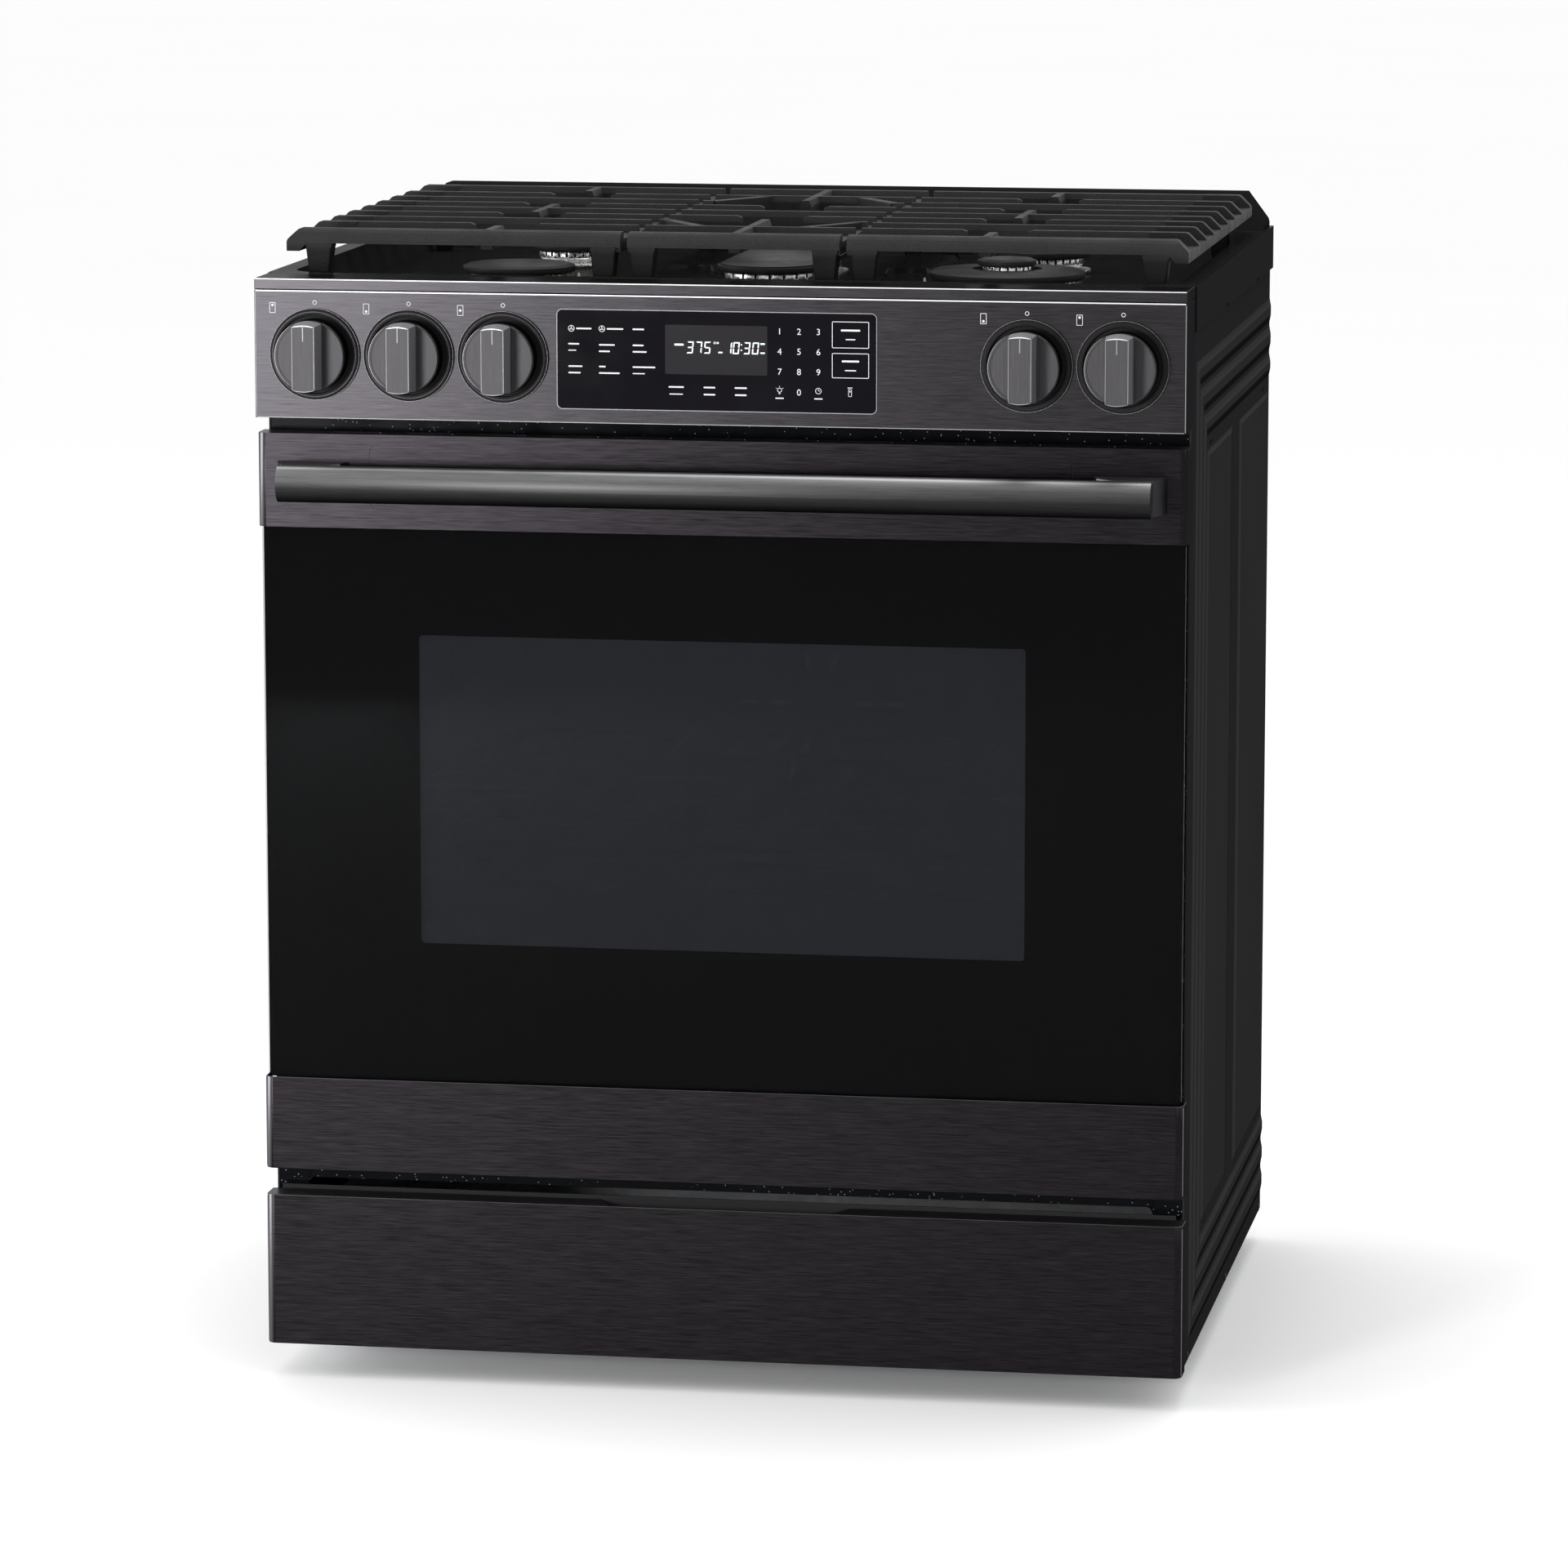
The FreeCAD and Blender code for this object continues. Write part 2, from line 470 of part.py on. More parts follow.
# a raised pad in the floor on each side of the centre burner
for s in (-1, 1):
    x0, x1 = sorted((s * 70.0, s * 118.0))
    pan = pan.fuse(Part.makeLoft([rr_wire(x0, x1, 390, 542, 6, "xy", PAN_FLOOR - 0.3), rr_wire(x0 + 4, x1 - 4, 394, 538, 4, "xy", PAN_FLOOR + 4.5)], True, True))
pan = pan.removeSplitter()
parts["cooktop_pan"] = pan

# Rear vent trim: sloping front and ends, slots in the front slope.
vt = poly([(600.0, PAN_RIM), (606.0, 890.0), (628.0, 914.5), (Y_REAR, 914.5), (Y_REAR, PAN_RIM)], "yz", -377.0, 377.0)
for s in (-1, 1):
    vt = vt.cut(poly([(s * 378.0, 884.0), (s * 376.0, 891.0), (s * 358.5, 914.6), (s * 358.5, 930.0), (s * 400.0, 930.0), (s * 400.0, 884.0)], "xz", 590, 660))
inner = poly([(604.0, PAN_RIM - 1), (608.5, 889.5), (629.0, 912.7), (Y_REAR - 1.8, 912.7), (Y_REAR - 1.8, PAN_RIM - 1)], "yz", -355.0, 355.0)
vt = vt.cut(inner)
vt = cut(vt, [rr_block(-322 + 46 * i - 17, -322 + 46 * i + 17, 896.0, 902.0, 2.9, "xz", 595, 640) for i in range(15)])
parts["rear_vent_trim"] = vt

# Burner heads: a base plate on the tray, a ported ring, and a mixing tube below.
def round_head(x, y, rb, rp, ztop, n, hole=8.0):
    z = PAN_FLOOR
    s = fuse([cyl(x, y, z, rb, 3.0), cyl(x, y, z + 2.9, rp - 3.0, 2.2), cone(x, y, z + 5.0, rp - 3.0, rp, 3.0), cyl(x, y, z + 8.0, rp, ztop - z - 8.0),
              cyl(x, y, z - 22, 15.0, 24)])
    s = s.cut(cyl(x, y, z - 30, hole, 60))
    s = s.cut(cyl(x, y, z + 9.0, rp - 7.0, 30))
    ports = []
    for i in range(n):
        b = box(rp - 9, rp + 3, -0.9, 0.9, z + 9.0, ztop + 2)
        b.rotate(V(0, 0, 0), V(0, 0, 1), 360.0 / n * i + 4)
        b.translate(V(x, y, 0))
        ports.append(b)
    return s.cut(Part.makeCompound(ports))


def stadium(cx, cy, r, half, z0, z1):
    """Oval along Y: r is the end radius, half is half the distance between ends."""
    P = lambda x, y: V(cx + x, cy + y, z0)
    e = [Part.makeLine(P(r, -half), P(r, half)), Part.Arc(P(r, half), P(0, half + r), P(-r, half)).toShape(),
         Part.makeLine(P(-r, half), P(-r, -half)), Part.Arc(P(-r, -half), P(0, -half - r), P(r, -half)).toShape()]
    return Part.Face(Part.Wire(e)).extrude(V(0, 0, z1 - z0))


CAP_Z = 873.0
heads = [round_head(-BURNER_X, BURNER_YF, 46, 40, CAP_Z, 36),
         round_head(-BURNER_X, BURNER_YR, 32, 27, CAP_Z, 24),
         round_head(BURNER_X, BURNER_YR, 42, 36, CAP_Z, 32)]
# centre oval head
z = PAN_FLOOR
CY = 317.0
oh = fuse([stadium(0, CY, 44, 68, z, z + 3), stadium(0, CY, 35, 68, z + 2.9, z + 6), stadium(0, CY, 38, 68, z + 6, CAP_Z),
           cyl(0, CY - 60, z - 22, 12, 24), cyl(0, CY + 60, z - 22, 12, 24)])
oh = cut(oh, [cyl(0, CY - 60, z - 30, 7, 60), cyl(0, CY + 60, z - 30, 7, 60), stadium(0, CY, 31, 68, z + 8, z + 40)])
ports = []
for i in range(15):
    y = CY - 66 + i * 9.43
    ports.append(box(-41, 41, y - 0.9, y + 0.9, z + 9, CAP_Z + 2))
for i in range(10):
    for s in (-1, 1):
        b = box(27, 41, -0.9, 0.9, z + 9, CAP_Z + 2)
        b.rotate(V(0, 0, 0), V(0, 0, 1), (9 + 18 * i) * s)
        b.translate(V(0, CY + 68 * s, 0))
        ports.append(b)
oh = oh.cut(Part.makeCompound(ports))
heads.append(oh)
# front-right head: a wide outer ring and a small inner head in one casting
x, y = BURNER_X, BURNER_YF
fr = fuse([cyl(x, y, z, 64, 3), cyl(x, y, z + 2.9, 54, 3), cone(x, y, z + 5.9, 54, 58, 3), cyl(x, y, z + 8.9, 58, CAP_Z - z - 8.9), cyl(x, y, z - 22, 15, 24)])
fr = fr.cut(cyl(x, y, z - 30, 8, 60))
fr = fr.cut(cyl(x, y, z + 8, 51, 30).cut(cyl(x, y, z + 8, 33, 30)))
fr = fuse([fr, cyl(x, y, z + 10, 20.0, 14.0).cut(cyl(x, y, z, 14, 40))])
fr = fr.cut(cyl(x, y, z + 9.5, 33.1, 40).cut(cyl(x, y, z + 9, 20.0, 40)))
ports = []
for i in range(48):
    b = box(48, 62, -0.9, 0.9, z + 9.6, CAP_Z + 2)
    b.rotate(V(0, 0, 0), V(0, 0, 1), 7.5 * i)
    b.translate(V(x, y, 0))
    ports.append(b)
for i in range(18):
    b = box(12, 24, -0.8, 0.8, z + 19.0, z + 26)
    b.rotate(V(0, 0, 0), V(0, 0, 1), 20 * i)
    b.translate(V(x, y, 0))
    ports.append(b)
fr = fr.cut(Part.makeCompound(ports))
heads.append(fr)
parts["burner_heads"] = group(heads)

# Spark electrodes: a ceramic sleeve and a steel tip beside each head.
ig = []
for (x, y, d) in ((-BURNER_X, BURNER_YF, 50.5), (-BURNER_X, BURNER_YR, 36.5), (BURNER_X, BURNER_YR, 46.5), (BURNER_X, BURNER_YF, 68.5)):
    sx = -1 if x < 0 else 1
    ig.append(fuse([cyl(x - sx * d, y, z, 3.6, 8), cyl(x - sx * d, y, z + 7.9, 2.4, 2), cyl(x - sx * d, y, z + 9.8, 1.0, 3.0)]))
ig.append(fuse([cyl(0, CY - 68 - 49, z, 3.6, 8), cyl(0, CY - 68 - 49, z + 7.9, 2.4, 2), cyl(0, CY - 68 - 49, z + 9.8, 1.0, 3.0)]))
parts["igniters"] = group(ig)


# Caps: enamelled lids that rest on the heads and lift off.
def cap(x, y, r, z0, th, dome=1.2):
    s = fuse([cyl(x, y, z0, r - 1.0, 1.2), cyl(x, y, z0 + 1.0, r, th - 2.6), cone(x, y, z0 + th - 1.7, r, r - 4.0, 1.7), cone(x, y, z0 + th - 0.05, r - 4.0, r - 18.0 if r > 30 else r * 0.4, dome)])
    return s


G = 0.35
parts["cap_front_left"] = cap(-BURNER_X, BURNER_YF, 46.5, CAP_Z + G, 7.0)
parts["cap_rear_left"] = cap(-BURNER_X, BURNER_YR, 31.0, CAP_Z + G, 6.5)
parts["cap_rear_right"] = cap(BURNER_X, BURNER_YR, 41.0, CAP_Z + G, 7.0)
parts["cap_centre"] = fuse([stadium(0, CY, 42, 68, CAP_Z + G, CAP_Z + 1.5), stadium(0, CY, 44, 68, CAP_Z + 1.4, CAP_Z + 5.5), stadium(0, CY, 41, 68, CAP_Z + 5.4, CAP_Z + 7.0)])
frc = cap(BURNER_X, BURNER_YF, 64.5, CAP_Z + G, 7.5)
frc = frc.cut(cyl(BURNER_X, BURNER_YF, CAP_Z - 5, 29.0, 40))
parts["cap_front_right_outer"] = frc
parts["cap_front_right_inner"] = fuse([cyl(BURNER_X, BURNER_YF, z + 24.35, 23.0, 1.0), cyl(BURNER_X, BURNER_YF, z + 25.2, 24.3, 3.6), cone(BURNER_X, BURNER_YF, z + 28.7, 24.3, 20.5, 1.6)])

# Grates: cast bars.  Section is a bar with a narrower crown.
def bar_x(x0, x1, y, z1=GRATE_TOP, h=GRATE_BAR, w=10.0, top=6.5):
    pts = [(y - w / 2, z1 - h), (y + w / 2, z1 - h), (y + w / 2, z1 - 5), (y + top / 2, z1), (y - top / 2, z1), (y - w / 2, z1 - 5)]
    return poly(pts, "yz", x0, x1)


def bar_y(x, y0, y1, z1=GRATE_TOP, h=GRATE_BAR, w=10.0, top=6.5):
    pts = [(x - w / 2, z1 - h), (x + w / 2, z1 - h), (x + w / 2, z1 - 5), (x + top / 2, z1), (x - top / 2, z1), (x - w / 2, z1 - 5)]
    return poly(pts, "xz", y0, y1)


def finger(xa, xb, y, w=10.0):
    """Finger from xa (root) to xb (tip): its underside rises to the tip."""
    d = 1 if xb > xa else -1
    z1, h = GRATE_TOP, GRATE_BAR
    side = poly([(xa, z1 - h), (xb - d * 26, z1 - h), (xb, z1 - 6.5), (xb, z1 - 1.5), (xb - d * 4, z1), (xa, z1)], "xz", y - w / 2, y + w / 2)
    return side.common(bar_x(min(xa, xb) - 1, max(xa, xb) + 1, y, w=w))


LEG_Z = PAN_FLOOR + 0.35


def leg(x0, x1, b0, b1, y):
    """Tapered foot: x0..x1 below the bars, b0..b1 on the tray."""
    x0, x1, b0, b1 = min(x0, x1), max(x0, x1), min(b0, b1), max(b0, b1)
    a = box(x0, x1, y - 8, y + 8, 903.0, GRATE_TOP - 8)
    b = Part.makeLoft([rr_wire(b0, b1, y - 6, y + 6, 1.5, "xy", LEG_Z), rr_wire(x0, x1, y - 8, y + 8, 1.5, "xy", 903.5)], True, True)
    return fuse([a, b])


FY0, FY1, FH = BAR_Y[0] - 8.0, BAR_Y[0] + 9.0, 12.0     # front bar: wide, with a round front edge


def front_bar(x0, x1):
    z1 = GRATE_TOP
    pts = [(FY0, z1 - FH), (FY1, z1 - FH), (FY1, z1 - 1.2), (FY1 - 1.2, z1), (FY0 + 9.0, z1), (FY0 + 5.2, z1 - 1.0), (FY0 + 2.4, z1 - 3.0),
           (FY0 + 0.7, z1 - 5.8), (FY0, z1 - 9.0)]
    return poly(pts, "yz", x0, x1)


def outer_drop(y0, y1, h):
    """End of a bar on the outer side: it slopes down to the outer rail."""
    z1 = GRATE_TOP
    return poly([(-330.0, z1), (-359.5, z1), (-361.5, z1 - 0.7), (-369.6, z1 - 8.6), (-370.6, z1 - 10.6), (-370.6, z1 - 18.5), (-360.0, z1 - 18.5),
                 (-354.0, z1 - h), (-330.0, z1 - h)], "xz", y0, y1)


def side_grate():
    xi, xo = -93.0, -340.0
    xc = -BURNER_X
    z1, h = GRATE_TOP, GRATE_BAR
    p = [front_bar(-345.0, xi), outer_drop(FY0, FY1, FH).common(front_bar(-400.0, 0.0).fuse(box(-400, 0, FY0, FY1, z1 - 30, z1 - FH + 0.1)))]
    for k in (2, 4, 6, 8):
        w, tp = (13.0, 9.0) if k == 8 else (10.0, 6.5)
        p.append(bar_x(xo, xi, BAR_Y[k], w=w, top=tp))
    for k in (1, 3, 5, 7):
        p.append(finger(xo, xc - 25, BAR_Y[k]))
        p.append(finger(xi, xc + 25, BAR_Y[k]))
    for k in range(1, 9):
        w = 13.0 if k == 8 else 10.0
        p.append(outer_drop(BAR_Y[k] - w / 2, BAR_Y[k] + w / 2, h))
    y0, y1 = FY0 + 1.0, BAR_Y[8] + 6.5
    p.append(box(-370.6, -360.0, y0, y1, z1 - 18.5, z1 - 10.5))         # outer rail
    p.append(box(xi - 11.0, xi, y0 + 2, y1, z1 - h, z1 - 6.0))          # inner rail, below the crowns
    p.append(bar_y(xc, BAR_Y[0], BAR_Y[0] + 50))
    p.append(bar_y(xc, BAR_Y[4] - 44, BAR_Y[4] + 44))
    p.append(bar_y(xc, BAR_Y[8] - 50, BAR_Y[8]))
    for y in (BAR_Y[0] + 1.0, BAR_Y[8] - 1.5):
        p.append(leg(-355.0, -333.0, -350.0, -338.0, y))
        p.append(leg(-118.0, -97.0, -114.0, -100.0, y))
    return fuse(p)


gl = side_grate()
parts["grate_left"] = gl
parts["grate_right"] = gl.mirror(V(0, 0, 0), V(1, 0, 0))


def centre_grate():
    xr = 87.3
    z1, h = GRATE_TOP, GRATE_BAR
    y0, y1 = FY0 + 3.0, BAR_Y[8] + 6.5
    p = [front_bar(-xr, xr), bar_x(-xr, xr, BAR_Y[8], w=13.0, top=9.0), bar_x(-xr, xr, BAR_Y[4])]
    for s in (-1, 1):
        p.append(box(*sorted((s * xr, s * (xr - 11.0))), y0, y1, z1 - h, z1 - 6.0))
        for k in (3, 5):
            p.append(finger(s * xr, s * 26.0, BAR_Y[k]))
        for y in (BAR_Y[0] + 1.0, BAR_Y[8] - 1.5):
            p.append(leg(s * 85.5, s * 64.5, s * 82.0, s * 68.0, y))
    # bars bent towards the middle, front and rear
    for yb, yd in ((BAR_Y[1], BAR_Y[2] + 8), (BAR_Y[7], BAR_Y[6] - 8)):
        p.append(bar_x(-xr, xr, yb))
        for s in (-1, 1):
            w = 10.0
            x0, x1 = s * 40.0, s * 80.0
            dx, dy = x1 - x0, yd - yb
            L = math.hypot(dx, dy)
            nx, ny = -dy / L * w / 2, dx / L * w / 2
            pts = [(x0 + nx, yb + ny), (x1 + nx, yd + ny), (x1 - nx, yd - ny), (x0 - nx, yb - ny)]
            p.append(poly(pts, "xy", z1 - h, z1 - 0.4))
            p.append(bar_x(*sorted((s * 78.0, s * xr)), yd))
    p.append(bar_y(0.0, BAR_Y[0], BAR_Y[2] + 20))
    p.append(bar_y(0.0, BAR_Y[6] + 2, BAR_Y[8]))
    return fuse(p)


parts["grate_centre"] = centre_grate()

# ---------------------------------------------------------------- controls
cp = fuse([box(-PANEL_X, PANEL_X, PANEL_Y, PANEL_Y + SHEET, PANEL_Z0, TRIM_Z - 0.4),
           box(-PANEL_X, -PANEL_X + SHEET, PANEL_Y, 44.0, PANEL_Z0, TRIM_Z - 0.4),
           box(PANEL_X - SHEET, PANEL_X, PANEL_Y, 44.0, PANEL_Z0, TRIM_Z - 0.4),
           box(-PANEL_X, PANEL_X, PANEL_Y, 33.0, PANEL_Z0, PANEL_Z0 + SHEET)])
cp = cut(cp, [cyl(x, -20, KNOB_Z, 9.0, 20, "y") for x in KNOB_X] + [rr_block(-120, 121, 791, 855, 4, "xz", -20, 0)])
parts["control_panel"] = cp
parts["control_panel_trim"] = fuse([box(-PANEL_X, PANEL_X, PANEL_Y, PANEL_Y + SHEET, TRIM_Z, PANEL_Z1),
                                    box(-PANEL_X, PANEL_X, PANEL_Y, 33.0, PANEL_Z1 - SHEET, PANEL_Z1),
                                    box(-PANEL_X, -PANEL_X + SHEET, PANEL_Y, 44.0, TRIM_Z, PANEL_Z1),
                                    box(PANEL_X - SHEET, PANEL_X, PANEL_Y, 44.0, TRIM_Z, PANEL_Z1)])
parts["touch_glass"] = rr_block(-129.0, 130.0, 783.0, 862.4, 4.0, "xz", PANEL_Y - 1.2, PANEL_Y)
cb = fuse([box(-124, 125, -4.5, -2.9, 787, 859), box(-60, 60, -2.95, 6.0, 800, 846), box(70, 118, -2.95, 8.5, 806, 835),
           box(-112, -80, -2.95, 9.0, 800, 835)])
parts["control_board"] = cb

bz = []
for x in KNOB_X:
    o = fuse([cyl(x, PANEL_Y - 2.6, KNOB_Z, 37.0, 2.6, "y"), cone(x, PANEL_Y - 4.0, KNOB_Z, 35.8, 37.0, 1.4, "y")])
    o = cut(o, [cyl(x, -20, KNOB_Z, 32.0, 20 + PANEL_Y - 0.8, "y"), cyl(x, -20, KNOB_Z, 8.0, 20, "y")])
    bz.append(o)
parts["knob_bezels"] = group(bz)


def knob(x):
    zc = KNOB_Z
    yb, yf, yg = PANEL_Y - 5.5, -31.0, -52.0
    disc = fuse([cyl(x, yf + 1.2, zc, KNOB_R, yb - yf - 1.2, "y"), cone(x, yf, zc, KNOB_R - 1.2, KNOB_R, 1.2, "y")])
    # the face on each side of the grip is set back a little inside a thin lip
    for s in (-1, 1):
        f = cyl(x, yf - 1, zc, KNOB_R - 2.4, 1.7, "y").common(box(*sorted((x + s * 12.6, x + s * 40)), -60, 0, zc - 40, zc + 40))
        disc = disc.cut(f)
    a = rr_wire(x - 11.2, x + 11.2, zc - 29.0, zc + 29.0, 3.0, "xz", yf + 2)
    b = rr_wire(x - 9.3, x + 9.3, zc - 27.2, zc + 27.2, 1.2, "xz", yg)
    grip = Part.makeLoft([a, b], True, True).common(cone(x, yg, zc, 27.0, 29.0, yf + 2 - yg, "y"))
    k = fuse([disc, grip])
    bore = cyl(x, yb - 13.0, zc, 3.05, 20.0, "y")
    bore = bore.cut(box(x - 5, x + 5, yb - 30, yb + 20, zc + 1.85, zc + 6))
    k = k.cut(bore)
    return k


def spindle(x):
    zc = KNOB_Z
    s = fuse([cyl(x, 0.0, zc, 4.0, 26.0, "y"), cyl(x, -22.0, zc, 3.0, 22.5, "y")])
    s = s.cut(box(x - 5, x + 5, -30.0, -9.0, zc + 1.8, zc + 6))
    return s


NAMES = ["rear_left", "front_left", "centre", "front_right", "rear_right"]
vb, tubes = [], []
for n, x in zip(NAMES, KNOB_X):
    parts["knob_" + n] = knob(x)
    parts["valve_spindle_" + n] = spindle(x)
    v = fuse([box(x - 12, x + 12, 6.0, 34.0, 812.0, 835.0), cyl(x, 20, 800.0, 6.0, 13), cyl(x, 2.0, KNOB_Z, 8.0, 5, "y"),
              cyl(x, 33.0, KNOB_Z, 5.5, 9, "y")])
    v = v.cut(cyl(x, 0, KNOB_Z, 4.05, 26.4, "y"))
    vb.append(v.cut(box(x - 8, x + 8, 8, 32, 790, 803.0)))
parts["gas_valves"] = group(vb)

# Manifold pipe along the valves, and a feed tube from each valve to its burner.
man = box(-352, 352, 10, 30, 783, 803).cut(box(-350, 350, 12, 28, 785, 801))
tubes.append(man)
TARGET = {"front_left": (-BURNER_X, BURNER_YF), "rear_left": (-BURNER_X, BURNER_YR), "centre": (0.0, CY - 60),
          "rear_right": (BURNER_X, BURNER_YR), "front_right": (BURNER_X, BURNER_YF)}
ROUTE_Z = {"front_left": 800.0, "rear_left": 780.0, "centre": 790.0, "rear_right": 780.0, "front_right": 800.0}
for n, x in zip(NAMES, KNOB_X):
    tx, ty = TARGET[n]
    rz = ROUTE_Z[n]
    path = [(x, 42.0, KNOB_Z), (x, 64.0 if n != "centre" else 72.0, KNOB_Z), (x, 64.0 if n != "centre" else 72.0, rz), (x, ty, rz), (tx, ty, rz), (tx, ty, PAN_FLOOR - 22.0)]
    if abs(tx - x) < 1:
        path = [path[0], path[1], path[2], (x, ty, rz), (tx, ty, PAN_FLOOR - 22.0)]
    tubes.append(tube_path(path, 3.2, 9.0))
# supply riser from the regulator at the rear to the manifold's left end
riser = tube_path([(-352.0, 20.0, 793.0), (-364.0, 20.0, 793.0), (-364.0, 610.0, 793.0), (-364.0, 610.0, 110.0), (-270.0, 610.0, 110.0)], 5.0, 10.0)
tubes.append(riser)
parts["gas_manifold"] = group(tubes)

# Pressure regulator behind the rear opening, with a threaded inlet to the rear.
rg = fuse([cyl(-240, 610, 84, 26, 38), cone(-240, 610, 122, 26, 14, 10), box(-262, -218, 594, 626, 92, 116), cyl(-240, 620, 104, 14.0, 28, "y"),
           cyl(-270, 610, 110, 7, 12, "x")])
rg = rg.cut(cyl(-240, 628, 104, 9.2, 21, "y"))
rg = rg.cut(cyl(-275, 610, 110, 5.05, 5.2, "x"))
parts["gas_regulator"] = rg

# Bush for the supply lead in the rear sheet.
pi = fuse([cyl(300, 640.0, 90, 10.9, 14.5, "y"), cyl(300, 646.0, 90, 15.0, 5.0, "y")])
pi = pi.cut(cyl(300, 630, 90, 5.0, 40, "y"))
parts["power_inlet"] = pi

# ---------------------------------------------------------------- export
os.makedirs("parts", exist_ok=True)
total = 0
for name, s in parts.items():
    s = s.copy()
    s.translate(V(0, SHIFT_Y, SHIFT_Z))
    ok = s.isValid()
    n = len(s.Solids)
    vol = s.Volume / 1000.0
    bb = s.BoundBox
    print("%-24s solids %2d valid %s vol %9.1f cm3  x %7.1f %7.1f y %7.1f %7.1f z %7.1f %7.1f" % (
        name, n, ok, vol, bb.XMin, bb.XMax, bb.YMin, bb.YMax, bb.ZMin, bb.ZMax))
    if n == 1:
        s = s.Solids[0]
    s.exportStep("parts/%s.step" % name)
    total += 1
print("nodes", total)
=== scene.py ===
import bpy, bmesh, math
from mathutils import Vector, Matrix


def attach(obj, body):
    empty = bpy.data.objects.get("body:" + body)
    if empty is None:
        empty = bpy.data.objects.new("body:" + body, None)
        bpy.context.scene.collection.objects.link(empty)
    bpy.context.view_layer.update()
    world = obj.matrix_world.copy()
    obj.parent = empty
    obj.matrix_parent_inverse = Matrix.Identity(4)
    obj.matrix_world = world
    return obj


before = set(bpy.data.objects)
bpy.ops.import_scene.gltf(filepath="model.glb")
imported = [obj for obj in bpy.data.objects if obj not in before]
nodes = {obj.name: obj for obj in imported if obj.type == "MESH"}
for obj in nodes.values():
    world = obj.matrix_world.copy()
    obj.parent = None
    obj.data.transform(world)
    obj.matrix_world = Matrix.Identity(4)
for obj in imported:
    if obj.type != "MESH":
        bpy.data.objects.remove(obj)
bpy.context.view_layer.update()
scene = bpy.context.scene
scene.view_settings.view_transform = 'Standard'
scene.view_settings.look = 'None'

# Working coordinates of the design, in millimetres: X from the centre plane, Y back
# from the door's face, Z up from the drawer's lower edge.
SY, SZ = -301.5, 28.0


def P(x, y, z):
    return Vector((x / 1000.0, (y + SY) / 1000.0, (z + SZ) / 1000.0))


# ------------------------------------------------------------------ materials
class Mat:
    """Small helper for node materials."""

    def __init__(self, name):
        self.m = bpy.data.materials.new(name)
        self.m.use_nodes = True
        self.t = self.m.node_tree
        self.t.nodes.clear()
        self.out = self.t.nodes.new("ShaderNodeOutputMaterial")
        self.b = self.t.nodes.new("ShaderNodeBsdfPrincipled")
        self.t.links.new(self.b.outputs[0], self.out.inputs[0])
        self.tc = self.t.nodes.new("ShaderNodeTexCoord")

    def new(self, kind, **kw):
        n = self.t.nodes.new(kind)
        for k, v in kw.items():
            setattr(n, k, v)
        return n

    def link(self, a, b):
        self.t.links.new(a, b)

    def set(self, **kw):
        for k, v in kw.items():
            self.b.inputs[k.replace("_", " ")].default_value = v
        return self

    def coords(self, scale=(1, 1, 1), rot=(0, 0, 0), loc=(0, 0, 0)):
        m = self.new("ShaderNodeMapping")
        self.link(self.tc.outputs["Object"], m.inputs["Vector"])
        m.inputs["Scale"].default_value = scale
        m.inputs["Rotation"].default_value = rot
        m.inputs["Location"].default_value = loc
        return m.outputs[0]

    def noise(self, vec, scale=1.0, detail=2.0, rough=0.5, dist=0.0):
        n = self.new("ShaderNodeTexNoise")
        self.link(vec, n.inputs["Vector"])
        n.inputs["Scale"].default_value = scale
        n.inputs["Detail"].default_value = detail
        n.inputs["Roughness"].default_value = rough
        n.inputs["Distortion"].default_value = dist
        return n.outputs["Fac"]

    def vor(self, vec, scale=1.0, feature='F1', rand=1.0):
        n = self.new("ShaderNodeTexVoronoi", feature=feature)
        self.link(vec, n.inputs["Vector"])
        n.inputs["Scale"].default_value = scale
        n.inputs["Randomness"].default_value = rand
        return n

    def rng(self, val, a, b, c, d, clamp=True):
        n = self.new("ShaderNodeMapRange")
        n.clamp = clamp
        self.link(val, n.inputs["Value"])
        for k, v in zip(("From Min", "From Max", "To Min", "To Max"), (a, b, c, d)):
            n.inputs[k].default_value = v
        return n.outputs[0]

    def math(self, op, a, b=None):
        n = self.new("ShaderNodeMath", operation=op)
        for i, v in enumerate((a, b)):
            if v is None:
                continue
            if isinstance(v, (int, float)):
                n.inputs[i].default_value = v
            else:
                self.link(v, n.inputs[i])
        return n.outputs[0]

    def mix(self, fac, a, b):
        n = self.new("ShaderNodeMix", data_type='RGBA')
        if isinstance(fac, (int, float)):
            n.inputs[0].default_value = fac
        else:
            self.link(fac, n.inputs[0])
        for i, v in ((6, a), (7, b)):
            if isinstance(v, (tuple, list)):
                n.inputs[i].default_value = tuple(v) + ((1.0,) if len(v) == 3 else ())
            else:
                self.link(v, n.inputs[i])
        return n.outputs[2]

    def color(self, v):
        if isinstance(v, (tuple, list)):
            self.b.inputs["Base Color"].default_value = tuple(v) + ((1.0,) if len(v) == 3 else ())
        else:
            self.link(v, self.b.inputs["Base Color"])

    def roughness(self, v):
        self.link(v, self.b.inputs["Roughness"])

    def bump(self, h, strength=0.3, dist=0.0005, prev=None):
        n = self.new("ShaderNodeBump")
        n.inputs["Strength"].default_value = strength
        n.inputs["Distance"].default_value = dist
        self.link(h, n.inputs["Height"])
        if prev is not None:
            self.link(prev, n.inputs["Normal"])
        self.link(n.outputs[0], self.b.inputs["Normal"])
        return n.outputs[0]

    def add(self, a, b):
        return self.math('ADD', a, b)


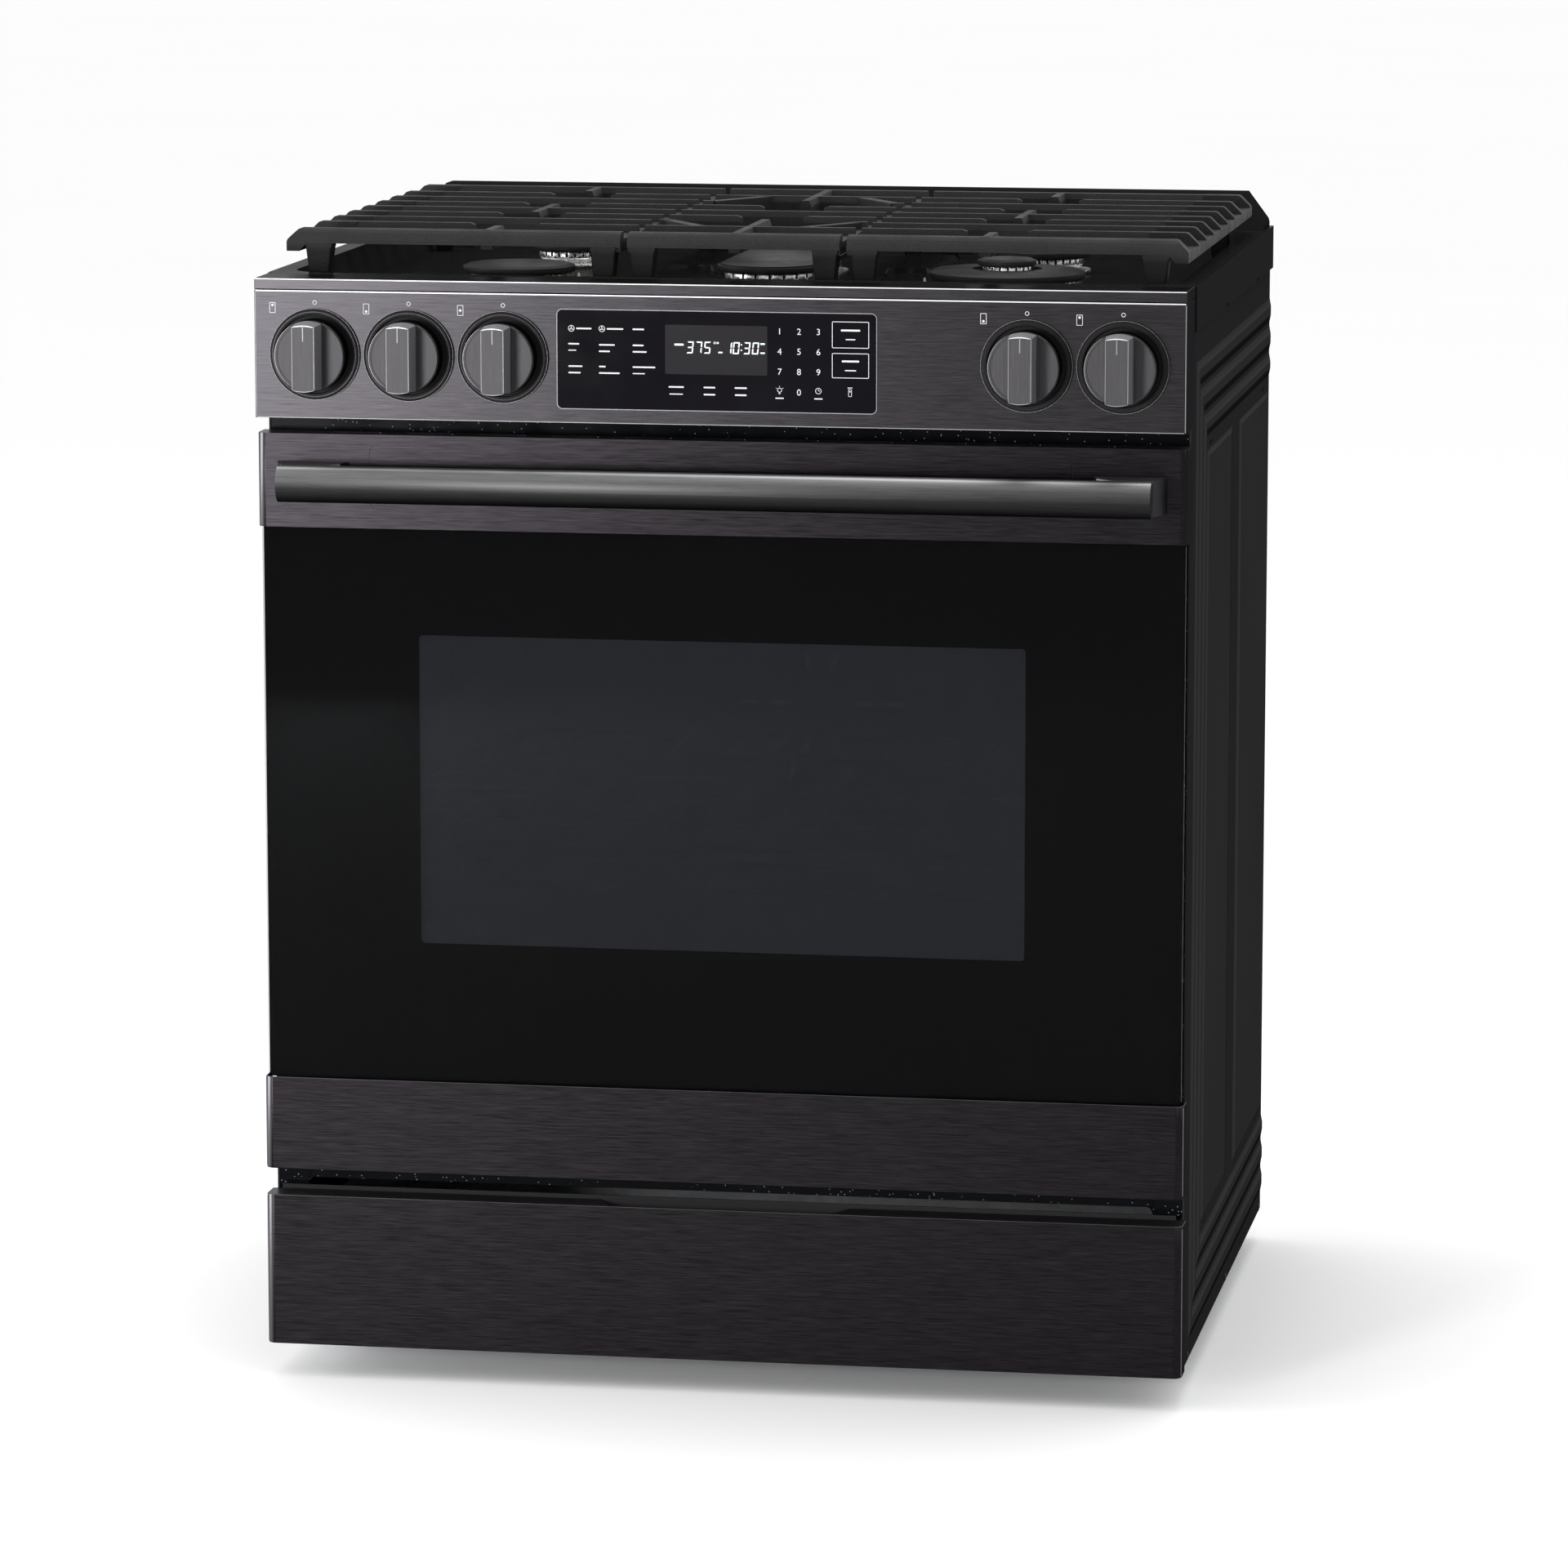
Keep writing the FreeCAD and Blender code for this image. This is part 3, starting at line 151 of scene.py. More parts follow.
def brushed(name, axis, dark, light, rough=(0.28, 0.34), aniso=0.35, edge=0.45, coarse=760.0, fine=2100.0, long=24.0, shaded_returns=False, fold_highlights=False):
    """Brushed metal; the brush lines run along axis."""
    m = Mat(name)
    L, C, F = long, coarse, fine
    sc = {"x": ((L, C, C), (L * 2.2, F, F)), "y": ((C, L, C), (F, L * 2.2, F)), "z": ((C, C, L), (F, F, L * 2.2))}[axis]
    n1 = m.noise(m.coords(sc[0]), 1.0, 2.0, 0.5)
    n2 = m.noise(m.coords(sc[1]), 1.0, 2.0, 0.6)
    cloud = m.noise(m.coords((2.5, 2.5, 2.5)), 1.0, 2.0)
    s = m.add(m.math('MULTIPLY', n1, 0.40), m.math('MULTIPLY', n2, 0.60))
    s2 = m.rng(s, 0.30, 0.70, 0.0, 1.0)
    f = m.add(m.math('MULTIPLY', s2, 0.88), m.math('MULTIPLY', cloud, 0.12))
    m.color(m.mix(f, dark, light))
    m.roughness(m.rng(s2, 0.0, 1.0, rough[0], rough[1]))
    m.set(Metallic=1.0, Specular_Tint=(edge, edge, edge, 1.0))
    m.b.inputs["Anisotropic"].default_value = aniso
    tg = m.new("ShaderNodeTangent", direction_type='RADIAL', axis={"x": 'X', "y": 'Y', "z": 'Z'}[axis])
    m.link(tg.outputs[0], m.b.inputs["Tangent"])
    m.bump(s, 0.05, 0.0001)
    if shaded_returns:
        # painted shade: the sideways faces of the folded sheet are coloured dark and made non-metallic
        sep = m.new("ShaderNodeSeparateXYZ")
        m.link(m.tc.outputs["Normal"], sep.inputs[0])
        side = m.rng(m.math('ABSOLUTE', sep.outputs[0]), 0.80, 0.97, 0.0, 1.0)
        old = m.b.inputs["Base Color"].links[0].from_socket
        if fold_highlights:
            # painted highlight: the left fold and the top fold are coloured lighter than the face, and the far left
            # faces get the painted shade too
            left = m.rng(m.math('MULTIPLY', sep.outputs[0], -1.0), 0.10, 0.45, 0.0, 1.0)
            up = m.rng(sep.outputs[2], 0.20, 0.70, 0.0, 1.0)
            old = m.mix(left, old, (0.098, 0.092, 0.101))
            old = m.mix(up, old, (0.118, 0.112, 0.121))
            side = m.math('MAXIMUM', m.rng(sep.outputs[0], 0.80, 0.97, 0.0, 1.0), m.rng(m.math('MULTIPLY', sep.outputs[0], -1.0), 0.93, 0.99, 0.0, 1.0))
        m.color(m.mix(side, old, (0.0125, 0.0120, 0.0130)))
        m.link(m.rng(side, 0.0, 1.0, 1.0, 0.0), m.b.inputs["Metallic"])
        m.set(Specular_IOR_Level=0.0)
    return m


black_steel = brushed("black_steel", "x", (0.0040, 0.0034, 0.0042), (0.0195, 0.0176, 0.0200), edge=0.55, shaded_returns=True, fold_highlights=True)
panel_steel = brushed("panel_steel", "x", (0.0105, 0.0096, 0.0112), (0.0320, 0.0302, 0.0330), shaded_returns=True)
trim_metal = brushed("trim_metal", "x", (0.0120, 0.0112, 0.0126), (0.0340, 0.0322, 0.0350), edge=0.35, shaded_returns=True)


def ramp(m, val, stops):
    n = m.new("ShaderNodeValToRGB")
    m.link(val, n.inputs[0])
    e = n.color_ramp.elements
    while len(e) < len(stops):
        e.new(0.5)
    for k, (p, c) in enumerate(stops):
        e[k].position = p
        e[k].color = (c, c, c * 1.01, 1.0)
    return n.outputs[0]


def handle_material():
    m = brushed("handle_metal", "x", (0.62, 0.62, 0.62), (1.0, 1.0, 1.0), rough=(0.42, 0.50), aniso=0.2, coarse=900.0, fine=2400.0)
    old = m.b.inputs["Base Color"].links[0].from_socket
    # painted light on the bar: a painted highlight line along the top, painted shade where it turns under, painted
    # shade on the end faces
    pos = m.new("ShaderNodeSeparateXYZ")
    m.link(m.tc.outputs["Object"], pos.inputs[0])
    t = m.rng(pos.outputs[2], 0.7338, 0.7633, 0.0, 1.0)
    col = ramp(m, t, ((0.0, 0.008), (0.16, 0.014), (0.42, 0.030), (0.72, 0.105), (0.90, 0.225), (0.955, 0.52), (0.985, 0.16)))
    mul = m.new("ShaderNodeMix", data_type='RGBA', blend_type='MULTIPLY')
    mul.inputs[0].default_value = 1.0
    m.link(col, mul.inputs[6])
    m.link(old, mul.inputs[7])
    sep = m.new("ShaderNodeSeparateXYZ")
    m.link(m.tc.outputs["Normal"], sep.inputs[0])
    end = m.rng(m.math('ABSOLUTE', sep.outputs[0]), 0.5, 0.9, 0.0, 1.0)
    m.color(m.mix(end, mul.outputs[2], (0.046, 0.045, 0.048)))
    return m


handle_metal = handle_material()


def knob_material():
    m = brushed("knob_metal", "z", (0.028, 0.027, 0.029), (0.056, 0.054, 0.057), rough=(0.46, 0.54), aniso=0.2, coarse=700.0, fine=2300.0)
    # the side of the disc is coloured near black: everything that does not face the user
    sep = m.new("ShaderNodeSeparateXYZ")
    m.link(m.tc.outputs["Normal"], sep.inputs[0])
    front = m.rng(m.math('MULTIPLY', sep.outputs[1], -1.0), 0.0, 0.25, 0.0, 1.0)
    pos = m.new("ShaderNodeSeparateXYZ")
    m.link(m.tc.outputs["Object"], pos.inputs[0])
    # the grip is metal on all its sides: it stands in front of the disc's face
    grip = m.rng(m.math('MULTIPLY', pos.outputs[1], -1.0), 0.3325 + 0.0008, 0.3325 + 0.0016, 0.0, 1.0)
    mask = m.math('MAXIMUM', front, grip)
    old = m.b.inputs["Base Color"].links[0].from_socket
    # painted light: the flanks and the rounded top end of the grip are coloured a lighter grey and made non-metallic,
    # with a painted highlight on the top end
    flank = m.rng(m.math('ABSOLUTE', sep.outputs[0]), 0.3, 0.9, 0.0, 1.0)
    crown = m.rng(sep.outputs[2], 0.25, 0.75, 0.0, 1.0)
    painted_flank_light = m.math('MULTIPLY', m.math('MAXIMUM', flank, crown), grip)
    end = m.mix(crown, (0.085, 0.083, 0.088), (0.150, 0.147, 0.153))
    old2 = m.mix(painted_flank_light, old, end)
    m.color(m.mix(mask, (0.0055, 0.0055, 0.0060), old2))
    m.link(m.rng(painted_flank_light, 0.0, 1.0, 1.0, 0.0), m.b.inputs["Metallic"])
    m.set(Specular_Tint=(0.3, 0.3, 0.3, 1.0), Specular_IOR_Level=0.0)
    return m


knob_metal = knob_material()

# touch glass and oven glass
glass_black = Mat("touch_glass_black")
n = glass_black.noise(glass_black.coords((30, 30, 30)), 1.0, 2.0)
glass_black.color(glass_black.mix(n, (0.0034, 0.0030, 0.0042), (0.0050, 0.0045, 0.0060)))
glass_black.roughness(glass_black.rng(n, 0.3, 0.7, 0.10, 0.16))
glass_black.set(Specular_IOR_Level=0.03)

oven_glass = Mat("oven_glass")
n = oven_glass.noise(oven_glass.coords((6, 6, 6)), 1.0, 2.0)
oven_glass.color(oven_glass.mix(n, (0.0030, 0.0030, 0.0034), (0.0040, 0.0040, 0.0044)))
oven_glass.set(Roughness=0.03, Alpha=0.22, Specular_IOR_Level=0.06)
inner_glass = Mat("inner_glass")
n = inner_glass.noise(inner_glass.coords((6, 6, 6)), 1.0, 2.0)
inner_glass.color(inner_glass.mix(n, (0.010, 0.011, 0.012), (0.014, 0.015, 0.016)))
inner_glass.set(Roughness=0.03, Alpha=0.18, Specular_IOR_Level=0.15)

frit = Mat("glass_frit")
n = frit.noise(frit.coords((900, 900, 900)), 1.0, 2.0)
frit.color(frit.mix(n, (0.0020, 0.0020, 0.0022), (0.0032, 0.0032, 0.0034)))
frit.roughness(frit.rng(n, 0.3, 0.7, 0.45, 0.6))
frit.set(Specular_IOR_Level=0.0)

# painted haze: a lit slate sheet behind the window glass stands in for the dim interior seen through it
haze_sheet = Mat("window_haze_sheet")
n = haze_sheet.noise(haze_sheet.coords((14, 14, 5)), 1.0, 3.0)
haze_sheet.color(haze_sheet.mix(n, (0.0330, 0.0358, 0.0440), (0.0368, 0.0398, 0.0484)))
haze_sheet.set(Roughness=0.5, Alpha=0.46, Specular_IOR_Level=0.0)

def dark_gloss(name, dark, light, rough, edge, grain=0.0, base=1.0):
    """Black painted or enamelled sheet."""
    m = Mat(name)
    n1 = m.noise(m.coords((1, 1, 1)), 900.0, 2.0)
    n2 = m.noise(m.coords((1, 1, 1)), 5.0, 3.0)
    m.color(m.mix(n2, dark, light))
    m.roughness(m.rng(n2, 0.3, 0.7, rough[0], rough[1]))
    m.set(Metallic=base, Specular_Tint=(edge, edge, edge, 1.0), Specular_IOR_Level=0.0)
    if grain:
        m.bump(n1, grain, 0.0002)
    return m


side_paint = dark_gloss("side_paint", (0.0150, 0.0150, 0.0150), (0.0185, 0.0185, 0.0185), (0.46, 0.54), 1.0, 0.08, 0.0)
def paint_relief_shade(m):
    """Painted shade and highlight: darker in the pressed valleys and on slopes that turn down or to the rear, lighter
    on ridges and on slopes that turn up or to the front.
    """
    pos = m.new("ShaderNodeSeparateXYZ")
    m.link(m.tc.outputs["Object"], pos.inputs[0])
    nor = m.new("ShaderNodeSeparateXYZ")
    m.link(m.tc.outputs["Normal"], nor.inputs[0])
    a = m.rng(m.math('ABSOLUTE', pos.outputs[0]), 0.3779, 0.3792, 0.80, 1.08)
    b = m.rng(nor.outputs[2], -0.12, 0.12, 0.35, 1.75)
    c = m.rng(nor.outputs[1], -0.12, 0.12, 1.55, 0.40)
    f = m.math('MULTIPLY', m.math('MULTIPLY', a, b), c)
    old = m.b.inputs["Base Color"].links[0].from_socket
    v = m.new("ShaderNodeVectorMath", operation='SCALE')
    m.link(old, v.inputs[0])
    m.link(f, v.inputs["Scale"])
    m.link(v.outputs[0], m.b.inputs["Base Color"])


paint_relief_shade(side_paint)
vent_black = dark_gloss("vent_black", (0.0080, 0.0080, 0.0082), (0.0105, 0.0105, 0.0107), (0.35, 0.45), 1.0, 0.04, 0.0)
skirt_black = dark_gloss("skirt_black", (0.0150, 0.0150, 0.0150), (0.0180, 0.0180, 0.0180), (0.35, 0.45), 1.0, 0.04, 0.0)


def speckle(name, base, base2, spec, density, rough=(0.10, 0.2), amount=0.55, size=0.17, metal=0.0, edge=1.0):
    m = Mat(name)
    m.set(Metallic=metal, Specular_Tint=(edge, edge, edge, 1.0), Specular_IOR_Level=0.2)
    v = m.vor(m.coords((1, 1, 1)), density)
    dots = m.rng(v.outputs["Distance"], size, size * 0.72, 0.0, 1.0)
    sep = m.new("ShaderNodeSeparateColor")
    m.link(v.outputs["Color"], sep.inputs[0])
    pick = m.math('GREATER_THAN', sep.outputs[0], 1.0 - amount)
    fac = m.math('MULTIPLY', dots, pick)
    n = m.noise(m.coords((40, 40, 40)), 1.0, 3.0)
    b = m.mix(n, base, base2)
    m.color(m.mix(fac, b, spec))
    m.roughness(m.rng(n, 0.3, 0.7, rough[0], rough[1]))
    m.bump(n, 0.05, 0.0004)
    return m


frame_enamel = speckle("frame_enamel", (0.0022, 0.0024, 0.0030), (0.0044, 0.0047, 0.0058), (0.16, 0.18, 0.21), 300.0, metal=0.0, edge=1.0)
frame_enamel.set(Specular_IOR_Level=0.02)
cavity_enamel = speckle("cavity_enamel", (0.006, 0.008, 0.012), (0.010, 0.012, 0.017), (0.26, 0.29, 0.34), 170.0, rough=(0.18, 0.3), metal=0.3, edge=0.3)
pan_enamel = speckle("pan_enamel", (0.0120, 0.0120, 0.0123), (0.0155, 0.0155, 0.0158), (0.05, 0.05, 0.055), 420.0, rough=(0.07, 0.14), amount=0.25, size=0.12, metal=0.35, edge=0.03)
pan_enamel.set(Specular_IOR_Level=0.0)
sep = pan_enamel.new("ShaderNodeSeparateXYZ")
pan_enamel.link(pan_enamel.tc.outputs["Normal"], sep.inputs[0])
pan_enamel.link(pan_enamel.rng(pan_enamel.math('ABSOLUTE', sep.outputs[0]), 0.3, 0.8, 0.35, 0.0), pan_enamel.b.inputs["Metallic"])

cast = Mat("cast_iron")
n1 = cast.noise(cast.coords((1, 1, 1)), 950.0, 3.0, 0.6)
n2 = cast.noise(cast.coords((1, 1, 1)), 45.0, 3.0)
v = cast.vor(cast.coords((1, 1, 1)), 760.0)
# painted light: the upper part of the grates is coloured lighter as a painted highlight, the legs below darker as
# painted shade
low = cast.new("ShaderNodeSeparateXYZ")
cast.link(cast.tc.outputs["Object"], low.inputs[0])
upper = cast.rng(low.outputs[2], 0.9270, 0.9345, 0.0, 1.0)
cast.color(cast.mix(upper, cast.mix(n1, (0.0016, 0.0016, 0.0017), (0.0085, 0.0085, 0.0087)), cast.mix(n1, (0.0040, 0.0040, 0.0042), (0.031, 0.031, 0.0314))))
cast.roughness(cast.rng(n2, 0.3, 0.7, 0.52, 0.68))
h = cast.add(n1, cast.math('MULTIPLY', v.outputs["Distance"], 0.6))
cast.bump(h, 0.55, 0.0007)
cast.set(Specular_IOR_Level=0.10)

cap_mat = Mat("cap_enamel")
n1 = cap_mat.noise(cap_mat.coords((1, 1, 1)), 1200.0, 2.0)
n2 = cap_mat.noise(cap_mat.coords((1, 1, 1)), 60.0, 3.0)
cap_mat.color(cap_mat.mix(n2, (0.012, 0.012, 0.0122), (0.020, 0.020, 0.0202)))
cap_mat.set(Specular_IOR_Level=0.12)
cap_mat.roughness(cap_mat.rng(n2, 0.3, 0.7, 0.40, 0.52))
cap_mat.bump(n1, 0.25, 0.0003)

alloy = Mat("burner_alloy")
n1 = alloy.noise(alloy.coords((1, 1, 1)), 700.0, 3.0)
n2 = alloy.noise(alloy.coords((1, 1, 1)), 40.0, 3.0)
alloy.color(alloy.mix(n2, (0.80, 0.79, 0.78), (0.93, 0.92, 0.91)))
alloy.roughness(alloy.rng(n1, 0.3, 0.7, 0.20, 0.32))
alloy.bump(n1, 0.2, 0.0003)
alloy.set(Metallic=1.0)

chrome = Mat("chrome_wire")
n1 = chrome.noise(chrome.coords((1, 1, 1)), 220.0, 2.0)
chrome.color(chrome.mix(n1, (0.72, 0.73, 0.75), (0.86, 0.87, 0.88)))
chrome.roughness(chrome.rng(n1, 0.3, 0.7, 0.10, 0.18))
chrome.set(Metallic=1.0)

galv = Mat("galvanised")
v = galv.vor(galv.coords((1, 1, 1)), 120.0)
sep = galv.new("ShaderNodeSeparateColor")
galv.link(v.outputs["Color"], sep.inputs[0])
n1 = galv.noise(galv.coords((1, 1, 1)), 300.0, 3.0)
galv.color(galv.mix(sep.outputs[0], (0.39, 0.40, 0.415), (0.46, 0.47, 0.485)))
galv.roughness(galv.rng(n1, 0.3, 0.7, 0.34, 0.5))
galv.set(Metallic=1.0)

ceramic = Mat("ceramic")
n1 = ceramic.noise(ceramic.coords((1, 1, 1)), 500.0, 2.0)
ceramic.color(ceramic.mix(n1, (0.72, 0.70, 0.64), (0.82, 0.80, 0.75)))
ceramic.roughness(ceramic.rng(n1, 0.3, 0.7, 0.25, 0.35))

brass = Mat("brass")
n1 = brass.noise(brass.coords((1, 1, 1)), 400.0, 2.0)
brass.color(brass.mix(n1, (0.55, 0.40, 0.16), (0.68, 0.52, 0.24)))
brass.roughness(brass.rng(n1, 0.3, 0.7, 0.28, 0.4))
brass.set(Metallic=1.0)

tube = Mat("tube_alloy")
n1 = tube.noise(tube.coords((1, 1, 1)), 300.0, 2.0)
tube.color(tube.mix(n1, (0.55, 0.55, 0.56), (0.68, 0.68, 0.69)))
tube.roughness(tube.rng(n1, 0.3, 0.7, 0.3, 0.42))
tube.set(Metallic=1.0)

pcb = Mat("circuit_board")
br = pcb.new("ShaderNodeTexBrick")
pcb.link(pcb.coords((120, 1, 120), (math.pi / 2, 0, 0)), br.inputs["Vector"])
br.inputs["Color1"].default_value = (0.01, 0.09, 0.04, 1)
br.inputs["Color2"].default_value = (0.015, 0.12, 0.05, 1)
br.inputs["Mortar"].default_value = (0.02, 0.18, 0.08, 1)
pcb.link(br.outputs[0], pcb.b.inputs["Base Color"])
pcb.set(Roughness=0.4)

seal = Mat("rope_seal")
w = seal.new("ShaderNodeTexWave", wave_type='BANDS', bands_direction='DIAGONAL')
seal.link(seal.coords((1, 1, 1)), w.inputs["Vector"])
w.inputs["Scale"].default_value = 220.0
w.inputs["Distortion"].default_value = 1.5
seal.color(seal.mix(w.outputs["Fac"], (0.020, 0.020, 0.021), (0.055, 0.055, 0.056)))
seal.bump(w.outputs["Fac"], 0.6, 0.0008)
seal.set(Roughness=0.85)

blanket = Mat("mineral_blanket")
n1 = blanket.noise(blanket.coords((1, 1, 1)), 160.0, 5.0, 0.7)
blanket.color(blanket.mix(n1, (0.55, 0.50, 0.34), (0.74, 0.70, 0.52)))
blanket.bump(n1, 0.8, 0.003)
blanket.set(Roughness=0.95)

moulded = Mat("moulded_black")
n1 = moulded.noise(moulded.coords((1, 1, 1)), 900.0, 2.0)
moulded.color(moulded.mix(n1, (0.0050, 0.0050, 0.0054), (0.0080, 0.0080, 0.0084)))
moulded.bump(n1, 0.2, 0.0002)
moulded.set(Roughness=0.5, Specular_IOR_Level=0.08)

steel = Mat("plain_steel")
n1 = steel.noise(steel.coords((1, 1, 1)), 350.0, 3.0)
steel.color(steel.mix(n1, (0.32, 0.32, 0.33), (0.46, 0.46, 0.47)))
steel.roughness(steel.rng(n1, 0.3, 0.7, 0.28, 0.42))
steel.set(Metallic=1.0)

ink = Mat("white_ink_painted_glow")
n1 = ink.noise(ink.coords((1, 1, 1)), 900.0, 2.0)
ink.color(ink.mix(n1, (0.44, 0.44, 0.45), (0.54, 0.54, 0.55)))
# white print; its faint emission is a painted glow
ink.set(Roughness=0.5, Emission_Strength=0.05, Specular_IOR_Level=0.1)
ink.b.inputs["Emission Color"].default_value = (0.9, 0.92, 0.95, 1)

lit = Mat("display_digits")
n1 = lit.noise(lit.coords((1, 1, 1)), 900.0, 2.0)
lit.color(lit.mix(n1, (0.40, 0.43, 0.46), (0.48, 0.51, 0.54)))
lit.set(Roughness=0.5, Emission_Strength=0.45, Specular_IOR_Level=0.1)
lit.b.inputs["Emission Color"].default_value = (0.85, 0.92, 1.0, 1)

disp = Mat("display_window")
n1 = disp.noise(disp.coords((60, 60, 60)), 1.0, 2.0)
disp.color(disp.mix(n1, (0.0120, 0.0112, 0.0130), (0.0150, 0.0140, 0.0160)))
disp.set(Roughness=0.3, Specular_IOR_Level=0.03)

# painted highlight for bright edges
edge_light = Mat("painted_edge_highlight")
n1 = edge_light.noise(edge_light.coords((1, 1, 1)), 500.0, 2.0)
edge_light.set(Specular_Tint=(0.6, 0.6, 0.6, 1.0))
edge_light.color(edge_light.mix(n1, (0.42, 0.42, 0.44), (0.56, 0.56, 0.58)))
edge_light.roughness(edge_light.rng(n1, 0.3, 0.7, 0.22, 0.34))
edge_light.set(Metallic=1.0)

# grey for the knob pointer lines, also used for painted highlights along edges
grey_mark_and_highlight = Mat("grey_mark_and_painted_highlight")
n1 = grey_mark_and_highlight.noise(grey_mark_and_highlight.coords((1, 1, 1)), 500.0, 2.0)
grey_mark_and_highlight.color(grey_mark_and_highlight.mix(n1, (0.13, 0.13, 0.135), (0.18, 0.18, 0.185)))
grey_mark_and_highlight.roughness(grey_mark_and_highlight.rng(n1, 0.3, 0.7, 0.45, 0.55))
grey_mark_and_highlight.set(Metallic=1.0, Specular_Tint=(0.4, 0.4, 0.4, 1.0))

# painted highlight for the brightest edges
painted_bright_highlight = Mat("painted_bright_highlight")
n1 = painted_bright_highlight.noise(painted_bright_highlight.coords((1, 1, 1)), 500.0, 2.0)
painted_bright_highlight.color(painted_bright_highlight.mix(n1, (0.34, 0.34, 0.35), (0.44, 0.44, 0.45)))
painted_bright_highlight.roughness(painted_bright_highlight.rng(n1, 0.3, 0.7, 0.45, 0.55))
painted_bright_highlight.set(Metallic=1.0, Specular_Tint=(0.6, 0.6, 0.6, 1.0))

ASSIGN = {}
def use(mat, *names):
    for k in names:
        ASSIGN[k] = mat.m


use(side_paint, "side_panel_left", "side_panel_right", "drawer_inner_panel")
use(galv, "back_panel", "base_pan", "drawer_rails", "fan_motor", "bake_burner", "hinge_receivers", "drawer_box", "door_hinges")
use(steel, "broil_burner", "fan_blade", *[k for k in nodes if k.startswith("valve_spindle")])
use(frame_enamel, "front_frame")
use(cavity_enamel, "oven_cavity", "door_liner", "fan_cover")
use(pan_enamel, "cooktop_pan")
use(black_steel, "door_top_strip", "door_lower_strip", "drawer_front")
use(panel_steel, "control_panel")
use(trim_metal, "control_panel_trim")
use(vent_black, "rear_vent_trim")
use(handle_metal, "door_handle")
use(moulded, "knob_bezels", "power_inlet", "levelling_legs")
use(cast, "grate_left", "grate_centre", "grate_right")
use(cap_mat, *[k for k in nodes if k.startswith("cap_")])
use(alloy, "burner_heads")
use(ceramic, "igniters")
use(oven_glass, "door_outer_glass")
use(inner_glass, "door_inner_glass", "oven_lamp")
use(glass_black, "touch_glass")
use(pcb, "control_board")
use(chrome, "rack_upper", "rack_lower")
use(brass, "gas_valves")
use(tube, "gas_manifold", "gas_regulator")
use(seal, "door_gasket")
use(blanket, "oven_insulation")
use(knob_metal, *[k for k in nodes if k.startswith("knob_") and k != "knob_bezels"])

BEVEL = {"side_panel_left": 0.0006, "side_panel_right": 0.0006, "cooktop_pan": 0.0012, "grate_left": 0.0016, "grate_centre": 0.0016, "grate_right": 0.0016,
         "door_top_strip": 0.0005, "door_lower_strip": 0.0005, "drawer_front": 0.0005, "control_panel": 0.0005, "control_panel_trim": 0.0006,
         "door_handle": 0.0009, "rear_vent_trim": 0.0010, "front_frame": 0.0003, "oven_cavity": 0.0004}
# large flat sheets: coplanar triangles are joined before the edges are rounded
FLAT = ("control_panel", "control_panel_trim", "door_top_strip", "door_lower_strip", "drawer_front", "side_panel_left", "side_panel_right")
for k, o in nodes.items():
    if k not in ASSIGN:
        raise SystemExit("no material for " + k)
    o.data.materials.clear()
    o.data.materials.append(ASSIGN[k])
    w = o.modifiers.new("weld", 'WELD')
    w.merge_threshold = 0.00001
    if k.startswith("rack") or k in ("gas_manifold", "oven_insulation", "touch_glass", "door_outer_glass", "door_inner_glass"):
        continue
    if k in FLAT:
        d = o.modifiers.new("planar", 'DECIMATE')
        d.decimate_type = 'DISSOLVE'
        d.angle_limit = math.radians(0.3)
    b = o.modifiers.new("bevel", 'BEVEL')
    b.width = BEVEL.get(k, 0.0004)
    b.segments = 2
    b.limit_method = 'ANGLE'
    b.angle_limit = math.radians(32)
    b.use_clamp_overlap = True
    b.harden_normals = True


# ------------------------------------------------------------------ mesh helpers
def new_obj(name, verts, faces, mat, body, bevel=0.0, smooth=False):
    me = bpy.data.meshes.new(name)
    me.from_pydata([tuple(v) for v in verts], [], faces)
    me.update()
    bm = bmesh.new()
    bm.from_mesh(me)
    bmesh.ops.recalc_face_normals(bm, faces=bm.faces)
    bm.to_mesh(me)
    bm.free()
    o = bpy.data.objects.new(name, me)
    scene.collection.objects.link(o)
    me.materials.append(mat.m)
    if smooth:
        for p in me.polygons:
            p.use_smooth = True
    if bevel:
        b = o.modifiers.new("bevel", 'BEVEL')
        b.width = bevel
        b.segments = 2
        b.limit_method = 'ANGLE'
    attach(o, body)
    return o


def rr_loop(x0, x1, z0, z1, r, n=5):
    pts = []
    for cx, cz, a0 in ((x1 - r, z1 - r, 0), (x0 + r, z1 - r, 90), (x0 + r, z0 + r, 180), (x1 - r, z0 + r, 270)):
        for i in range(n + 1):
            a = math.radians(a0 + 90.0 * i / n)
            pts.append((cx + r * math.cos(a), cz + r * math.sin(a)))
    return pts


